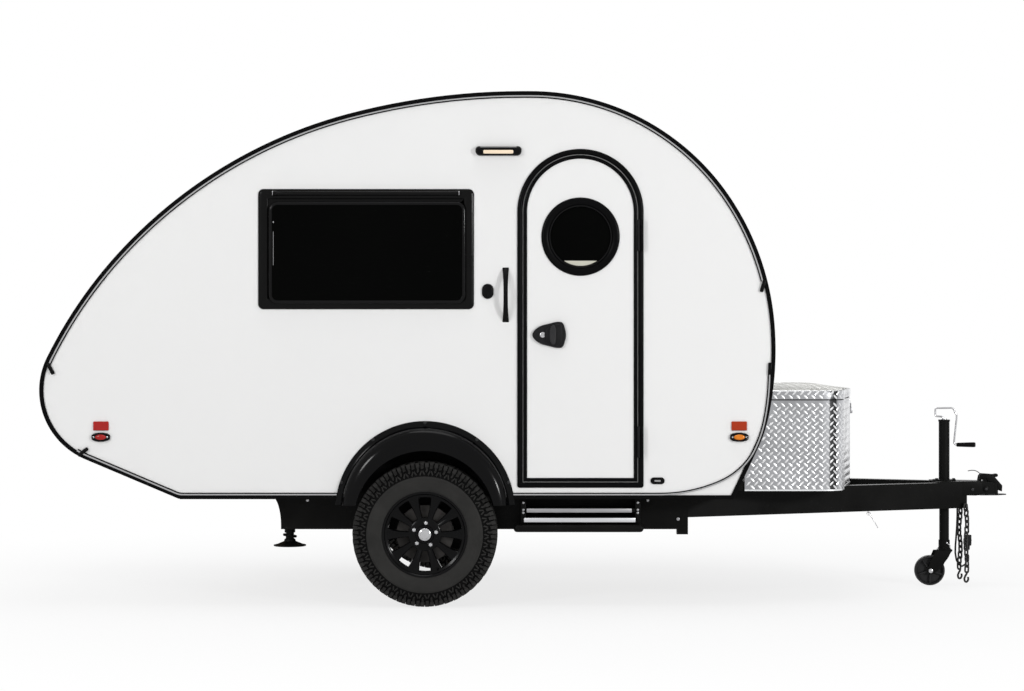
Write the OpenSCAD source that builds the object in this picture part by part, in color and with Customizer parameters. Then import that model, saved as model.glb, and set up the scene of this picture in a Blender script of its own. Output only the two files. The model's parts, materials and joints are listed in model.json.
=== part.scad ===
// Teardrop camping trailer, parked on its front jack.
// +X runs forward to the coupler, +Y to the trailer's left, +Z up.
// The origin is on the ground, under the middle of the whole length and width.
// Millimetres.

/* [Body] */
// Length of the body, from its rear curve to its front curve
body_length = 3607; // [3500:1:4400]
// Width of the body over its side walls
body_width = 1930; // [1600:5:2330]
// Height of the body, from its skirt to the top of its roof
body_height = 1997; // [1800:1:2400]
// Thickness of a side wall
side_wall = 25; // [18:1:32]
// Thickness of the roof and end panels
roof_wall = 30; // [20:1:40]
// Thickness of the floor
floor_wall = 28; // [18:1:40]
// Width of the black band round the edge of each side
trim_band = 21; // [16:1:30]

/* [Door and windows] */
// Width of the door frame over its flange
door_width = 617; // [510:1:680]
// Height of the door frame to the top of its round head
door_height = 1658; // [1450:1:1700]
// Distance from the body's front to the middle of the door
door_setback = 956; // [900:1:1010]
// Radius of the round pane in the door
door_pane_r = 155; // [120:1:180]
// Width of a side window over its flange
window_width = 1057; // [900:1:1150]
// Height of a side window over its flange
window_height = 589; // [480:1:640]
// Distance from the body's front to the middle of a side window
window_setback = 2006; // [1960:1:2060]
// Width of the rear window
rear_window_width = 1180; // [900:1:1300]

/* [Wheels and axle] */
// Radius of a tyre
tyre_radius = 356; // [300:1:430]
// Width of a tyre
tyre_width = 225; // [175:1:250]
// Radius of a rim over its outer lip
rim_radius = 208; // [170:1:215]
// Distance from the body's front to the axle line
axle_setback = 1717; // [1660:1:1780]
// Radius of a mudguard's flange on the body side
guard_radius = 441; // [430:1:480]

/* [Frame] */
// Depth of a main rail
rail_height = 190; // [150:1:230]
// Depth of a drawbar
drawbar_height = 136; // [110:1:150]
// Angle between a drawbar and the trailer's middle line
drawbar_angle = 22.5; // [20:0.5:25]
// Distance from the body's front to the coupler's tip
tongue_length = 1341; // [1250:1:1600]
// Radius of the coupler's ball socket
socket_radius = 25.8; // [24:0.1:31]

/* [Front box] */
// Width of the storage box across the trailer
box_width = 1510; // [1250:1:1510]
// Height of the storage box to the top of its lid
box_height = 501; // [400:1:520]
// Distance from the body's front to the box's front face
box_reach = 494; // [440:1:540]
// Thickness of the box's sheet
box_sheet = 4; // [3:0.5:6]

/* [Jack] */
// Radius of the jack's outer tube
jack_radius = 28.5; // [25:0.5:32]
// Radius of the caster wheel
caster_radius = 80; // [70:1:95]

/* [Hidden] */

$fn = 64;
eps = 0.5;
gap = 5;              // clearance round what moves
slip = 0.3;           // clearance of a sliding or turning fit

// places along the trailer
half_length = (body_length + tongue_length) / 2;
front_x = half_length - tongue_length;
axle_x = front_x - axle_setback;
door_x = front_x - door_setback;
window_x = front_x - window_setback;
half_w = body_width / 2;

// heights
hub_z = tyre_radius;
rail_z = hub_z + 4;
frame_z = rail_z + rail_height;
skirt_z = frame_z - 22;
roof_z = skirt_z + body_height;

// side outline: chains of [radius, sweep] arcs that start at the roof's crown
rear_upper = [[3350, 14.8], [2332, 33.1], [2211, 15.8], [363, 26.3]];
rear_lower = [[363, 36], [373, 31.1]];
front_upper = [[1178, 55.4], [1297, 29.9], [1573, 4.7]];
front_lower = [[1573, 11.7], [737, 13.6]];
outline_length = 3607;
outline_height = 1997;
outline_k = min(body_length / outline_length, body_height / outline_height);

function sweep_of(arcs, i = 0) = i >= len(arcs) ? 0 : arcs[i][1] + sweep_of(arcs, i + 1);
function run_of(arcs, h = 0, i = 0) =
    i >= len(arcs) ? 0 :
    arcs[i][0] * (sin(h + arcs[i][1]) - sin(h)) + run_of(arcs, h + arcs[i][1], i + 1);
crown_flat = body_length - outline_k * (run_of(rear_upper) + run_of(front_upper));
upright = body_height - outline_k * outline_height;
crown_x = front_x - outline_k * run_of(front_upper) - crown_flat;   // rear end of the flat crown

// points along a left-turning chain of arcs, drawn "inset" inside the outline
function arc_points(p, h, r, a) =
    let (n = max(2, ceil(a / 3.5)), c = p + r * [cos(h + 90), sin(h + 90)])
    [for (i = [1 : n]) c + r * [cos(h - 90 + a * i / n), sin(h - 90 + a * i / n)]];
function chain(p, h, arcs, inset, i = 0) =
    i >= len(arcs) ? [] :
    let (pts = arc_points(p, h, arcs[i][0] * outline_k - inset, arcs[i][1]))
    concat(pts, chain(pts[len(pts) - 1], h + arcs[i][1], arcs, inset, i + 1));
// one end of the body from the crown to the level "z", going left from [x, roof]
function end_points(x, upper, lower, inset, z) =
    let (start = [x, roof_z - inset],
        high = chain(start, 180, upper, inset),
        mid = high[len(high) - 1] - [0, upright],
        low = chain(mid, 270, lower, inset),
        last = low[len(low) - 1],
        h = 270 + sweep_of(lower),
        t = (z - last[1]) / sin(h))
    concat([start], high, upright > 0 ? [mid] : [], low, [last + t * [cos(h), sin(h)]]);
function flip_x(pts) = [for (i = [len(pts) - 1 : -1 : 0]) [-pts[i][0], pts[i][1]]];
function body_outline(inset, z) = concat(
    end_points(crown_x, rear_upper, rear_lower, inset, z),
    flip_x(end_points(-(crown_x + crown_flat), front_upper, front_lower, inset, z)));

// a side profile, extruded across the trailer from y0 to y1
module across(y0, y1) {
    translate([0, y1, 0]) rotate([90, 0, 0]) linear_extrude(y1 - y0) children();
}
// the right side's pieces are drawn at -Y, and mirrored for the left side
module on_left() {
    mirror([0, 1, 0]) children();
}
module block(x0, x1, y0, y1, z0, z1) {
    translate([x0, y0, z0]) cube([x1 - x0, y1 - y0, z1 - z0]);
}
// a rounded rectangle whose corners are true arcs
module round_rect(w, h, r) {
    square([w - 2 * r, h], center = true);
    square([w, h - 2 * r], center = true);
    for (x = [-1, 1], y = [-1, 1]) translate([x * (w / 2 - r), y * (h / 2 - r)]) circle(r);
}
module tube_x(r, x0, x1, y, z) {
    translate([x0, y, z]) rotate([0, 90, 0]) cylinder(r = r, h = x1 - x0);
}
module tube_y(r, x, y0, y1, z) {
    translate([x, y1, z]) rotate([90, 0, 0]) cylinder(r = r, h = y1 - y0);
}
module tube_z(r, x, y, z0, z1) {
    translate([x, y, z0]) cylinder(r = r, h = z1 - z0);
}

// ---------- frame ----------
rail_web = 6;
rail_flange = 50;
rail_y = half_w - 225;                       // outer face of a main rail
rail_rear_x = axle_x - 729;
rail_cut = 55;                               // how far the rounded cut of its rear end reaches
rail_front_x = front_x - 421;
drawbar_wall = 5;
drawbar_width = 54;
bar_top_z = frame_z + 2;
bar_front_x = half_length - 221;
bar_tip_y = 65;                              // outer face of a drawbar at its front end
cross_x = rail_front_x + 10;

module main_rail() {
    color([0.05, 0.05, 0.055]) difference() {
        across(-rail_y, -rail_y + rail_flange) polygon(concat(
            [for (a = [0 : 10 : 90])
                [rail_rear_x - rail_cut * (1 - cos(a)), rail_z + 20 + (rail_height - 40) * sin(a)]],
            [[rail_rear_x - rail_cut, frame_z], [rail_front_x, frame_z], [rail_front_x, rail_z],
                [rail_rear_x, rail_z]]));
        block(rail_rear_x - 100, rail_front_x + 1, -rail_y + rail_web, -rail_y + rail_flange + 1,
            rail_z + rail_web, frame_z - rail_web);
    }
}

// a drawbar is a box tube cut square at the cross member and along X at its tip
bar_run = bar_front_x - cross_x;
bar_rear_y = bar_tip_y + bar_run * tan(drawbar_angle);
module drawbar_plan(inset) {
    w = drawbar_width / cos(drawbar_angle);
    i = inset / cos(drawbar_angle);
    polygon([[cross_x, -bar_rear_y + i], [bar_front_x, -bar_tip_y + i],
        [bar_front_x, -bar_tip_y + w - i], [cross_x, -bar_rear_y + w - i]]);
}
module drawbar() {
    color([0.05, 0.05, 0.055]) difference() {
        translate([0, 0, bar_top_z - drawbar_height]) linear_extrude(drawbar_height) drawbar_plan(0);
        translate([0, 0, bar_top_z - drawbar_height + drawbar_wall])
            linear_extrude(drawbar_height - 2 * drawbar_wall) drawbar_plan(drawbar_wall);
    }
}

member_inner = rail_y - rail_flange;
module cross_members() {
    color([0.05, 0.05, 0.055]) {
        // plate that joins the rails to the drawbars
        block(rail_front_x, cross_x, -rail_y, rail_y, rail_z, frame_z);
        for (y = [-rail_y, rail_y - 46]) block(rail_front_x - 46, cross_x, y, y + 46, rail_z - 26, rail_z);
        // channels between the rails
        for (x = [rail_rear_x + 90, axle_x - 420, axle_x + 330])
            difference() {
                block(x, x + 50, -rail_y + rail_web, rail_y - rail_web, frame_z - 90, frame_z - rail_web);
                block(x + 5, x + 51, -rail_y + rail_web - 1, rail_y, frame_z - 84, frame_z - rail_web - 6);
            }
        // tie between the drawbars
        tie_x = (cross_x + bar_front_x) / 2;
        tie_y = bar_tip_y + (bar_front_x - tie_x) * tan(drawbar_angle) - drawbar_width / cos(drawbar_angle);
        linear_tie(tie_x, tie_y);
    }
}
module linear_tie(x, y) {
    slope = 50 * tan(drawbar_angle);
    translate([0, 0, bar_top_z - drawbar_height + 20]) linear_extrude(70)
        polygon([[x, -y], [x + 50, -y + slope], [x + 50, y - slope], [x, y]]);
}

// ---------- axle and wheels ----------
wheel_y = half_w + 70 - tyre_width / 2;      // middle plane of a wheel
drum_inner_y = wheel_y - 78;
beam_x = axle_x + 152;
beam_half = 38;
beam_end_y = drum_inner_y - 90;
spindle_r = 17;
saddle_t = 8;
beam_z = rail_z - saddle_t - beam_half;

module axle_beam() {
    color([0.06, 0.06, 0.065]) {
        translate([beam_x, 0, beam_z]) rotate([90, 0, 0]) difference() {
            cube([2 * beam_half, 2 * beam_half, 2 * beam_end_y], center = true);
            cube([2 * beam_half - 10, 2 * beam_half - 10, 2 * drum_inner_y], center = true);
        }
        // saddle plates that bolt the beam under the rails
        for (s = [-1, 1]) {
            y0 = s * (rail_y - 26) - 24;
            block(beam_x - 90, beam_x + 90, y0, y0 + 48, rail_z - saddle_t, rail_z);
            for (x = [beam_x - beam_half - 6, beam_x + beam_half])
                block(x, x + 6, y0, y0 + 48, beam_z - beam_half, rail_z - saddle_t);
        }
    }
}
arm_y0 = drum_inner_y - 30;
module axle_arm() {
    color([0.09, 0.09, 0.095]) {
        // trailing arm from the beam's end to the hub, with its spindle
        across(-arm_y0 - 2, -arm_y0 + 40) hull() {
            translate([beam_x, beam_z]) circle(46, $fn = 32);
            translate([axle_x, hub_z]) circle(34, $fn = 32);
        }
        tube_y(spindle_r, axle_x, -wheel_y - 58, -arm_y0, hub_z);
        tube_y(26, beam_x, -arm_y0 + 40, -beam_end_y, beam_z);
    }
}

rim_width = tyre_width - 45;
module tyre() {
    color([0.07, 0.07, 0.07]) translate([axle_x, -wheel_y, hub_z]) rotate([90, 0, 0])
        rotate_extrude($fn = 96) polygon([
            [rim_radius - 6, -rim_width / 2 + 2], [rim_radius + 14, -tyre_width / 2 + 9],
            [(rim_radius + tyre_radius) / 2, -tyre_width / 2], [tyre_radius - 26, -tyre_width / 2 + 8],
            [tyre_radius - 5, -tyre_width / 2 + 24], [tyre_radius, -tyre_width / 2 + 44],
            [tyre_radius, tyre_width / 2 - 44], [tyre_radius - 5, tyre_width / 2 - 24],
            [tyre_radius - 26, tyre_width / 2 - 8], [(rim_radius + tyre_radius) / 2, tyre_width / 2],
            [rim_radius + 14, tyre_width / 2 - 9], [rim_radius - 6, rim_width / 2 - 2]]);
}
spokes = 10;
lugs = 5;
lug_circle = 57;
rim_bore = 42;
module wheel_rim() {
    color([0.04, 0.04, 0.045]) translate([axle_x, -wheel_y, hub_z]) rotate([90, 0, 0]) {
        // barrel with its two lips
        rotate_extrude($fn = 96) polygon([
            [rim_radius - 14, -rim_width / 2 - 8], [rim_radius, -rim_width / 2 - 8], [rim_radius, -rim_width / 2 - 3],
            [rim_radius - 7, -rim_width / 2], [rim_radius - 7, rim_width / 2], [rim_radius, rim_width / 2 + 3],
            [rim_radius, rim_width / 2 + 8], [rim_radius - 14, rim_width / 2 + 8]]);
        // disc with a window between each pair of spokes
        difference() {
            translate([0, 0, 50]) cylinder(r = rim_radius - 10, h = 24);
            translate([0, 0, 40]) cylinder(r = rim_bore, h = 50);
            for (i = [0 : spokes - 1]) rotate(90 + i * 360 / spokes) translate([0, 0, 40]) linear_extrude(50)
                polygon([[92, -9], [rim_radius - 24, -38], [rim_radius - 17, -20], [rim_radius - 15, 0],
                    [rim_radius - 17, 20], [rim_radius - 24, 38], [92, 9]]);
            for (i = [0 : lugs - 1]) rotate(84 + i * 360 / lugs) translate([lug_circle, 0, 66])
                cylinder(r = 14, h = 20);
        }
        // wheel nuts and centre cap
        for (i = [0 : lugs - 1]) rotate(84 + i * 360 / lugs) translate([lug_circle, 0, 64]) cylinder(r = 10, h = 18);
        translate([0, 0, 50]) difference() {
            cylinder(r = rim_bore + 1, h = 34);
            translate([0, 0, -1]) cylinder(r = rim_bore - 6, h = 30);
        }
    }
}
module brake_drum() {
    color([0.2, 0.19, 0.18]) translate([axle_x, -wheel_y, hub_z]) rotate([90, 0, 0]) difference() {
        union() {
            translate([0, 0, -60]) cylinder(r = 140, h = 100);
            translate([0, 0, 40]) cylinder(r = 80, h = 10);
            translate([0, 0, 50]) cylinder(r = rim_bore - 8, h = 22);
        }
        translate([0, 0, -61]) cylinder(r = 128, h = 88);
        translate([0, 0, -70]) cylinder(r = spindle_r + slip, h = 132);
    }
}

// ---------- mudguards ----------
guard_z = frame_z - 82;                      // centre of the flange circle
guard_end_z = skirt_z - 29;
guard_lip_r = tyre_radius - 13;
guard_lip_z = hub_z + 64;
guard_reach = 80;                            // how far it stands out of the body side
guard_t = 5;
guard_flange = 28;
module mudguard_form(grow, y_in) {
    hull() {
        tube_y(guard_radius - guard_flange + 2 + grow, axle_x, -half_w - guard_t - grow, y_in, guard_z);
        tube_y(guard_lip_r + 26 + grow, axle_x, -half_w - guard_reach + 10 - grow, y_in, guard_lip_z + 8);
        tube_y(guard_lip_r + 8 + grow, axle_x, -half_w - guard_reach - grow, y_in, guard_lip_z);
    }
}
module mudguard() {
    r = guard_radius;
    color([0.03, 0.03, 0.035]) intersection() {
        difference() {
            union() {
                tube_y(r, axle_x, -half_w - guard_t, -half_w, guard_z);
                mudguard_form(0, -half_w);
            }
            mudguard_form(-guard_t, -half_w + 1);
            tube_y(guard_lip_r, axle_x, -half_w - guard_reach - 1, -half_w, guard_lip_z);
        }
        block(axle_x - r - 1, axle_x + r + 1, -half_w - guard_reach - 1, -half_w, guard_end_z, guard_z + r + 1);
    }
}
arch_r = guard_radius - guard_flange - 6;
housing_y = half_w - 180;
housing_t = 3;
module arch_area(r) {
    intersection() {
        translate([axle_x, guard_z]) circle(r, $fn = 96);
        translate([axle_x - r, frame_z - 60]) square([2 * r, 2 * r]);
    }
}
module wheel_housings() {
    color([0.16, 0.16, 0.17]) {
        housing();
        on_left() housing();
    }
}
module housing() {
    difference() {
        across(-half_w + side_wall, -housing_y) intersection() {
            arch_area(arch_r + housing_t);
            translate([axle_x - 1000, frame_z]) square([2000, 1000]);
        }
        across(-half_w + side_wall - 1, -housing_y - housing_t) arch_area(arch_r);
    }
}

// ---------- body ----------
module floor() {
    color([0.3, 0.27, 0.22]) difference() {
        across(-half_w + side_wall, half_w - side_wall) intersection() {
            polygon(body_outline(roof_wall + slip, skirt_z));
            translate([-half_length, frame_z]) square([2 * half_length, floor_wall]);
        }
        // relief over the drawbars
        block(cross_x - 1, half_length, -half_w, half_w, frame_z - 1, bar_top_z + slip);
        for (s = [-1, 1]) scale([1, s, 1]) across(-half_w, -housing_y + eps) arch_area(arch_r + housing_t + eps);
    }
}

door_z = skirt_z + 55;
door_lap = 12;                               // how far the frame's flange covers the wall
jamb_face = 25;
leaf_inset = jamb_face + gap;
module door_area(inset) {
    r = door_width / 2 - inset;
    translate([door_x, door_z]) {
        translate([-r, inset]) square([2 * r, door_height - door_width / 2 - inset]);
        translate([0, door_height - door_width / 2]) circle(r, $fn = 96);
    }
}
window_z = skirt_z + 1223;                   // middle of a side window
window_lap = 40;
module window_area(inset, r) {
    translate([window_x, window_z]) round_rect(window_width - 2 * inset, window_height - 2 * inset, r);
}
module side_wall_plain() {
    across(-half_w, -half_w + side_wall) difference() {
        polygon(body_outline(0, skirt_z));
        window_area(window_lap, 60);
        arch_area(arch_r);
    }
}
module side_wall_right() {
    color([0.93, 0.93, 0.93]) difference() {
        side_wall_plain();
        across(-half_w - 1, -half_w + side_wall + 1) door_area(door_lap);
    }
}
module side_wall_left() {
    color([0.93, 0.93, 0.93]) on_left() side_wall_plain();
}

// the panels between the side walls, parted where the outline passes a joint line
panel_y = half_w - side_wall;
joint_gap = 1;
rear_joint_z = skirt_z + 480;
roof_rear_x = crown_x - 1560 * outline_k;
roof_front_x = crown_x + crown_flat + 1050 * outline_k;
module wrap() {
    difference() {
        polygon(body_outline(0, skirt_z));
        polygon(body_outline(roof_wall, skirt_z - 1));
    }
}
module wrap_part(x0, x1, z0, z1) {
    across(-panel_y, panel_y) intersection() {
        wrap();
        translate([x0, z0]) square([x1 - x0, z1 - z0]);
    }
}
far = 9000;
module front_panel() {
    color([0.93, 0.93, 0.93]) wrap_part(roof_front_x + joint_gap, far, 0, far);
}
module roof_panel() {
    color([0.93, 0.93, 0.93]) difference() {
        wrap_part(roof_rear_x, roof_front_x, skirt_z + 600, far);
        on_roof() cube([vent_neck + 10, vent_neck + 10, 200], center = true);
    }
}
rear_win_z0 = skirt_z + 720;
rear_win_z1 = skirt_z + 1160;
module rear_panel() {
    color([0.93, 0.93, 0.93]) difference() {
        wrap_part(-far, roof_rear_x - joint_gap, rear_joint_z + joint_gap, far);
        block(-far, roof_rear_x - 40, -rear_window_width / 2 + 40, rear_window_width / 2 - 40,
            rear_win_z0 + 40, rear_win_z1 - 40);
    }
}
module rear_lower_panel() {
    color([0.93, 0.93, 0.93]) wrap_part(-far, crown_x - 500, 0, rear_joint_z);
}

// edge band: a strip along the outline on the outside of each side wall
trim_t = 6;
module edge_trim() {
    color([0.04, 0.04, 0.045]) across(-half_w - trim_t, -half_w) difference() {
        polygon(body_outline(0, skirt_z));
        polygon(body_outline(trim_band, skirt_z + trim_band));
        translate([axle_x, guard_z]) circle(guard_radius + 1, $fn = 96);
    }
}

// ---------- door ----------
flange_t = 8;
hinge_x = door_x + door_width / 2 - 8;
hinge_y = -half_w - 20;
hinge_r = 8;
hinge_pin_r = 3;
hinge_zs = [door_z + 223, door_z + 1236];
hinge_part = 48;                             // length of one knuckle
module door_frame() {
    color([0.05, 0.05, 0.055]) {
        across(-half_w - flange_t, -half_w) difference() {
            door_area(0);
            door_area(jamb_face);
        }
        across(-half_w - 1, -half_w + side_wall) difference() {
            door_area(door_lap + eps);
            door_area(jamb_face);
        }
        // fixed knuckles, one below and one above the leaf's, with the pin
        for (z = hinge_zs) {
            for (k = [-1, 1]) translate([hinge_x, hinge_y, z + k * (hinge_part + 1)]) {
                cylinder(r = hinge_r, h = hinge_part, center = true);
                translate([-2, 6, 0]) cube([14, 14, hinge_part], center = true);
            }
            translate([hinge_x, hinge_y, z]) cylinder(r = hinge_pin_r, h = 2 * hinge_part, center = true);
        }
    }
}
leaf_out = 6;                                // how far the leaf stands out of the wall
leaf_t = 30;
pane_x = door_x + 0.5;
pane_z = door_z + 1229;
module entry_door() {
    color([0.93, 0.93, 0.93]) difference() {
        union() {
            across(-half_w - leaf_out, -half_w - leaf_out + leaf_t) door_area(leaf_inset);
            // the leaf's knuckles and their straps
            for (z = hinge_zs) {
                translate([hinge_x, hinge_y, z]) cylinder(r = hinge_r, h = hinge_part, center = true);
                block(hinge_x - 60, hinge_x, hinge_y - 3, hinge_y + 2, z - hinge_part / 2, z + hinge_part / 2);
                block(hinge_x - 60, hinge_x - 26, hinge_y - 3, -half_w - leaf_out + 1, z - hinge_part / 2,
                    z + hinge_part / 2);
            }
        }
        tube_y(door_pane_r + 12, pane_x, -half_w - 40, -half_w + 40, pane_z);
        for (z = hinge_zs) translate([hinge_x, hinge_y, z])
            cylinder(r = hinge_pin_r + slip, h = hinge_part + 2, center = true);
    }
}
module door_pane() {
    color([0.08, 0.09, 0.1, 0.8]) {
        tube_y(door_pane_r + 37, pane_x, -half_w - leaf_out - 8, -half_w - leaf_out, pane_z);
        tube_y(door_pane_r + 11, pane_x, -half_w - leaf_out - 1, -half_w - leaf_out + leaf_t, pane_z);
    }
}
latch_w = 167;
latch_h = 132;
latch_x = door_x - door_width / 2 + 72 + latch_w / 2;
latch_z = door_z + 748;
module door_latch() {
    color([0.06, 0.06, 0.065]) across(-half_w - leaf_out - 34, -half_w - leaf_out)
        translate([latch_x, latch_z]) round_rect(latch_w, latch_h, 40);
}

// ---------- windows ----------
frame_proud = 8;
pane_proud = 26;
module side_window() {
    color([0.05, 0.05, 0.06]) {
        across(-half_w - frame_proud, -half_w) window_area(0, 26);
        across(-half_w - pane_proud, -half_w) translate([0, -8]) window_area(44, 60);
        across(-half_w - 1, -half_w + 4) window_area(window_lap + eps, 59);
        tube_x(13, window_x - 450, window_x + 450, -half_w - 17, window_z + window_height / 2 - 24);
    }
}
// the rear window follows the curve of the rear panel
module rear_window() {
    color([0.05, 0.05, 0.06]) {
        rear_strip(rear_window_width / 2, -14, 0, rear_win_z0, rear_win_z1);
        rear_strip(rear_window_width / 2 - 41, -1, 8, rear_win_z0 + 41, rear_win_z1 - 41);
    }
}
module rear_strip(half, inset_out, inset_in, z0, z1) {
    across(-half, half) intersection() {
        difference() {
            polygon(body_outline(inset_out, skirt_z));
            polygon(body_outline(inset_in, skirt_z - 1));
        }
        translate([-far, z0]) square([far + roof_rear_x - 40, z1 - z0]);
    }
}
// the roof vent sits on the rear slope of the crown
vent_back = 300;                             // from the crown to the vent's middle
vent_size = 390;
vent_neck = 350;
roof_r = rear_upper[0][0] * outline_k;
module on_roof() {
    translate([crown_x, 0, roof_z - roof_r]) rotate([0, -asin(vent_back / roof_r), 0]) translate([0, 0, roof_r])
        children();
}
module roof_vent() {
    color([0.85, 0.85, 0.86]) on_roof() {
        translate([-vent_neck / 2, -vent_neck / 2, -roof_wall - 8]) cube([vent_neck, vent_neck, roof_wall + 12]);
        difference() {
            translate([-vent_size / 2, -vent_size / 2, -8]) cube([vent_size, vent_size, 25.6]);
            translate([0, 0, -roof_r]) rotate([90, 0, 0]) cylinder(r = roof_r + slip, h = 1000, center = true, $fn = 720);
        }
        translate([0, 0, 17]) linear_extrude(41, scale = 0.9) square(vent_size - 20, center = true);
    }
}

// ---------- fittings on the sides ----------
handle_x = door_x - 366;
handle_z = skirt_z + 999;
handle_w = 30;
handle_half = 144;                           // half its height
handle_out = 50;                             // how far it bows out of the wall
handle_r = (pow(handle_half, 2) + pow(handle_out, 2)) / (2 * handle_out);
module grab_handle() {
    color([0.05, 0.05, 0.055]) translate([handle_x - handle_w / 2, -half_w, handle_z]) rotate([90, 0, 90])
        linear_extrude(handle_w) intersection() {
            translate([handle_r - handle_out, 0]) difference() {
                circle(handle_r, $fn = 96);
                circle(handle_r - 8, $fn = 96);
            }
            translate([-2 * handle_out, -handle_half]) square([2 * handle_out, 2 * handle_half]);
        }
}
porch_x = door_x - 401;
porch_z = skirt_z + 1704;
module porch_light() {
    color([0.06, 0.06, 0.065]) hull() for (k = [-1, 1]) {
        tube_y(23, porch_x + k * 90, -half_w - 12, -half_w, porch_z);
        tube_y(13, porch_x + k * 84, -half_w - 34, -half_w, porch_z);
    }
}
// an oval port behind the handle, a small round light and, on the left, the inlets
module side_fittings() {
    color([0.06, 0.06, 0.065]) {
        across(-half_w - 12, -half_w) translate([door_x - 454, skirt_z + 1016]) round_rect(57, 74, 28);
        across(-half_w - 10, -half_w) translate([door_x + 378, skirt_z + 88]) round_rect(69, 33, 16);
        across(half_w, half_w + 12) translate([door_x - 100, skirt_z + 420]) round_rect(150, 150, 20);
        across(half_w, half_w + 12) translate([door_x + 150, skirt_z + 250]) round_rect(110, 130, 20);
        for (z = [330, 880]) across(half_w, half_w + 14)
            translate([door_x + 150, skirt_z + z + 160]) round_rect(380, 150, 16);
    }
}
reflector_rear_x = axle_x - 1588;
reflector_front_x = front_x - 178;
lamp_z = skirt_z + 303;
module marker_lamps() {
    color([0.6, 0.1, 0.06]) {
        side_lamps();
        on_left() side_lamps();
    }
}
module side_lamps() {
    for (x = [reflector_rear_x, reflector_front_x]) {
        block(x - 40, x + 40, -half_w - 8, -half_w, lamp_z + 31, lamp_z + 77);
        block(x - 45, x + 45, -half_w - 22, -half_w, lamp_z - 24, lamp_z + 22);
    }
}
// the rear lower panel's slope, for what is fixed to it
slope_angle = 90 - (270 + sweep_of(rear_lower) - 270);
slope_low = body_outline(0, skirt_z)[len(end_points(crown_x, rear_upper, rear_lower, 0, skirt_z)) - 1];
module on_slope(along) {
    translate([slope_low[0], 0, slope_low[1]]) rotate([0, slope_angle, 0]) translate([-along, 0, 0])
        mirror([0, 0, 1]) children();
}
module tail_lamps() {
    color([0.65, 0.05, 0.04]) for (s = [-1, 1])
        on_slope(330) translate([0, s * (half_w - 210), 0]) cylinder(r = 62, h = 24);
}
module number_plate() {
    color([0.9, 0.9, 0.9]) on_slope(320) translate([0, -half_w + 480, 1]) {
        translate([0, 0, 5]) cube([165, 315, 4], center = true);
        translate([0, 0, 1.5]) cube([120, 200, 5], center = true);
    }
}

// ---------- entry step ----------
step_y0 = -half_w - 10;
step_top_z = skirt_z;
module entry_step() {
    x0 = door_x - 292;
    x1 = door_x + 265;
    color([0.07, 0.07, 0.075]) {
        for (x = [x0, x1 + 6]) block(x, x + 26, step_y0 + 60, -rail_y, step_top_z - 153, step_top_z - 1);
        block(x0 + 26, x1 + 6, step_y0 + 40, -rail_y - gap, step_top_z - 74, step_top_z - 49);
        block(x0 + 26, x1 + 6, step_y0 + 20, -rail_y - gap, step_top_z - 119, step_top_z - 96);
        hull() for (z = [step_top_z - 144.5, step_top_z - 150])
            tube_x(12, x0 - 80, x1 + 44, step_y0 + 40, z);
        for (x = [x0, x1 + 6]) block(x, x + 26, step_y0 + 30, step_y0 + 70, step_top_z - 160, step_top_z - 60);
    }
}

// ---------- rear stabilizers ----------
stab_x = rail_rear_x + 37;
stab_sleeve_r = 27;
stab_y = rail_y - rail_flange - stab_sleeve_r - 1;
stab_rod_r = 21;
stab_foot_r = 82;
stab_foot_z = rail_z - 90;
module stabilizer_mounts() {
    color([0.06, 0.06, 0.065]) {
        stab_mount();
        on_left() stab_mount();
    }
}
// a sleeve beside the rail, with a plate that reaches the rail's web
module stab_mount() {
    difference() {
        union() {
            tube_z(stab_sleeve_r, stab_x, -stab_y, rail_z - 22, frame_z - eps);
            block(stab_x - 30, stab_x + 30, -rail_y + rail_web, -stab_y, rail_z + 20, frame_z - 20);
        }
        tube_z(stab_rod_r + slip, stab_x, -stab_y, rail_z - 30, frame_z);
    }
}
module stabilizer_leg() {
    color([0.07, 0.07, 0.075]) {
        tube_z(stab_rod_r, stab_x, -stab_y, stab_foot_z + 4, frame_z - gap);
        tube_z(stab_rod_r + 12, stab_x, -stab_y, stab_foot_z + 20, stab_foot_z + 44);
        tube_z(stab_foot_r, stab_x, -stab_y, stab_foot_z, stab_foot_z + 22);
    }
}

// ---------- front box ----------
box_z0 = frame_z + 2;
box_top_z = frame_z + box_height + 2;
box_split_z = box_top_z - 49;
box_front_x = front_x + box_reach;
box_gap = 16;                                // between the box and the body's front
function box_plan(inset) = let (w = box_width / 2 - inset, f = box_front_x - inset)
    [[front_x - 400, -w], [f - 215, -w], [f - 160, -w + 16], [f - 122, -w + 54], [f - 90, -500 + inset * 0.4],
     [f, -60], [f, 60],
     [f - 90, 500 - inset * 0.4], [f - 122, w - 54], [f - 160, w - 16], [f - 215, w], [front_x - 400, w]];
module box_form(inset, z0, z1, back) {
    difference() {
        translate([0, 0, z0]) linear_extrude(z1 - z0) polygon(box_plan(inset));
        across(-half_w, half_w) polygon(body_outline(-back, skirt_z - 200));
    }
}
lid_over = 3;
lid_hinge_x = front_x + 11;
lid_hinge_z = box_top_z + 6;
lid_hinge_r = 5;
lid_pin_r = 2.5;
lid_hinge_y = box_width / 2 - 250;
lid_part = 50;                               // length of one knuckle
module front_box() {
    color([0.8, 0.81, 0.83]) {
        difference() {
            box_form(0, box_z0, box_split_z, box_gap);
            box_form(box_sheet, box_z0 + box_sheet, box_split_z + 1, box_gap + box_sheet);
        }
        for (y = [-lid_hinge_y, lid_hinge_y]) {
            for (k = [-1, 1]) box_knuckle(y + k * (lid_part + 1));
            tube_y(lid_pin_r, lid_hinge_x, y - lid_part, y + lid_part, lid_hinge_z);
        }
    }
}
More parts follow.
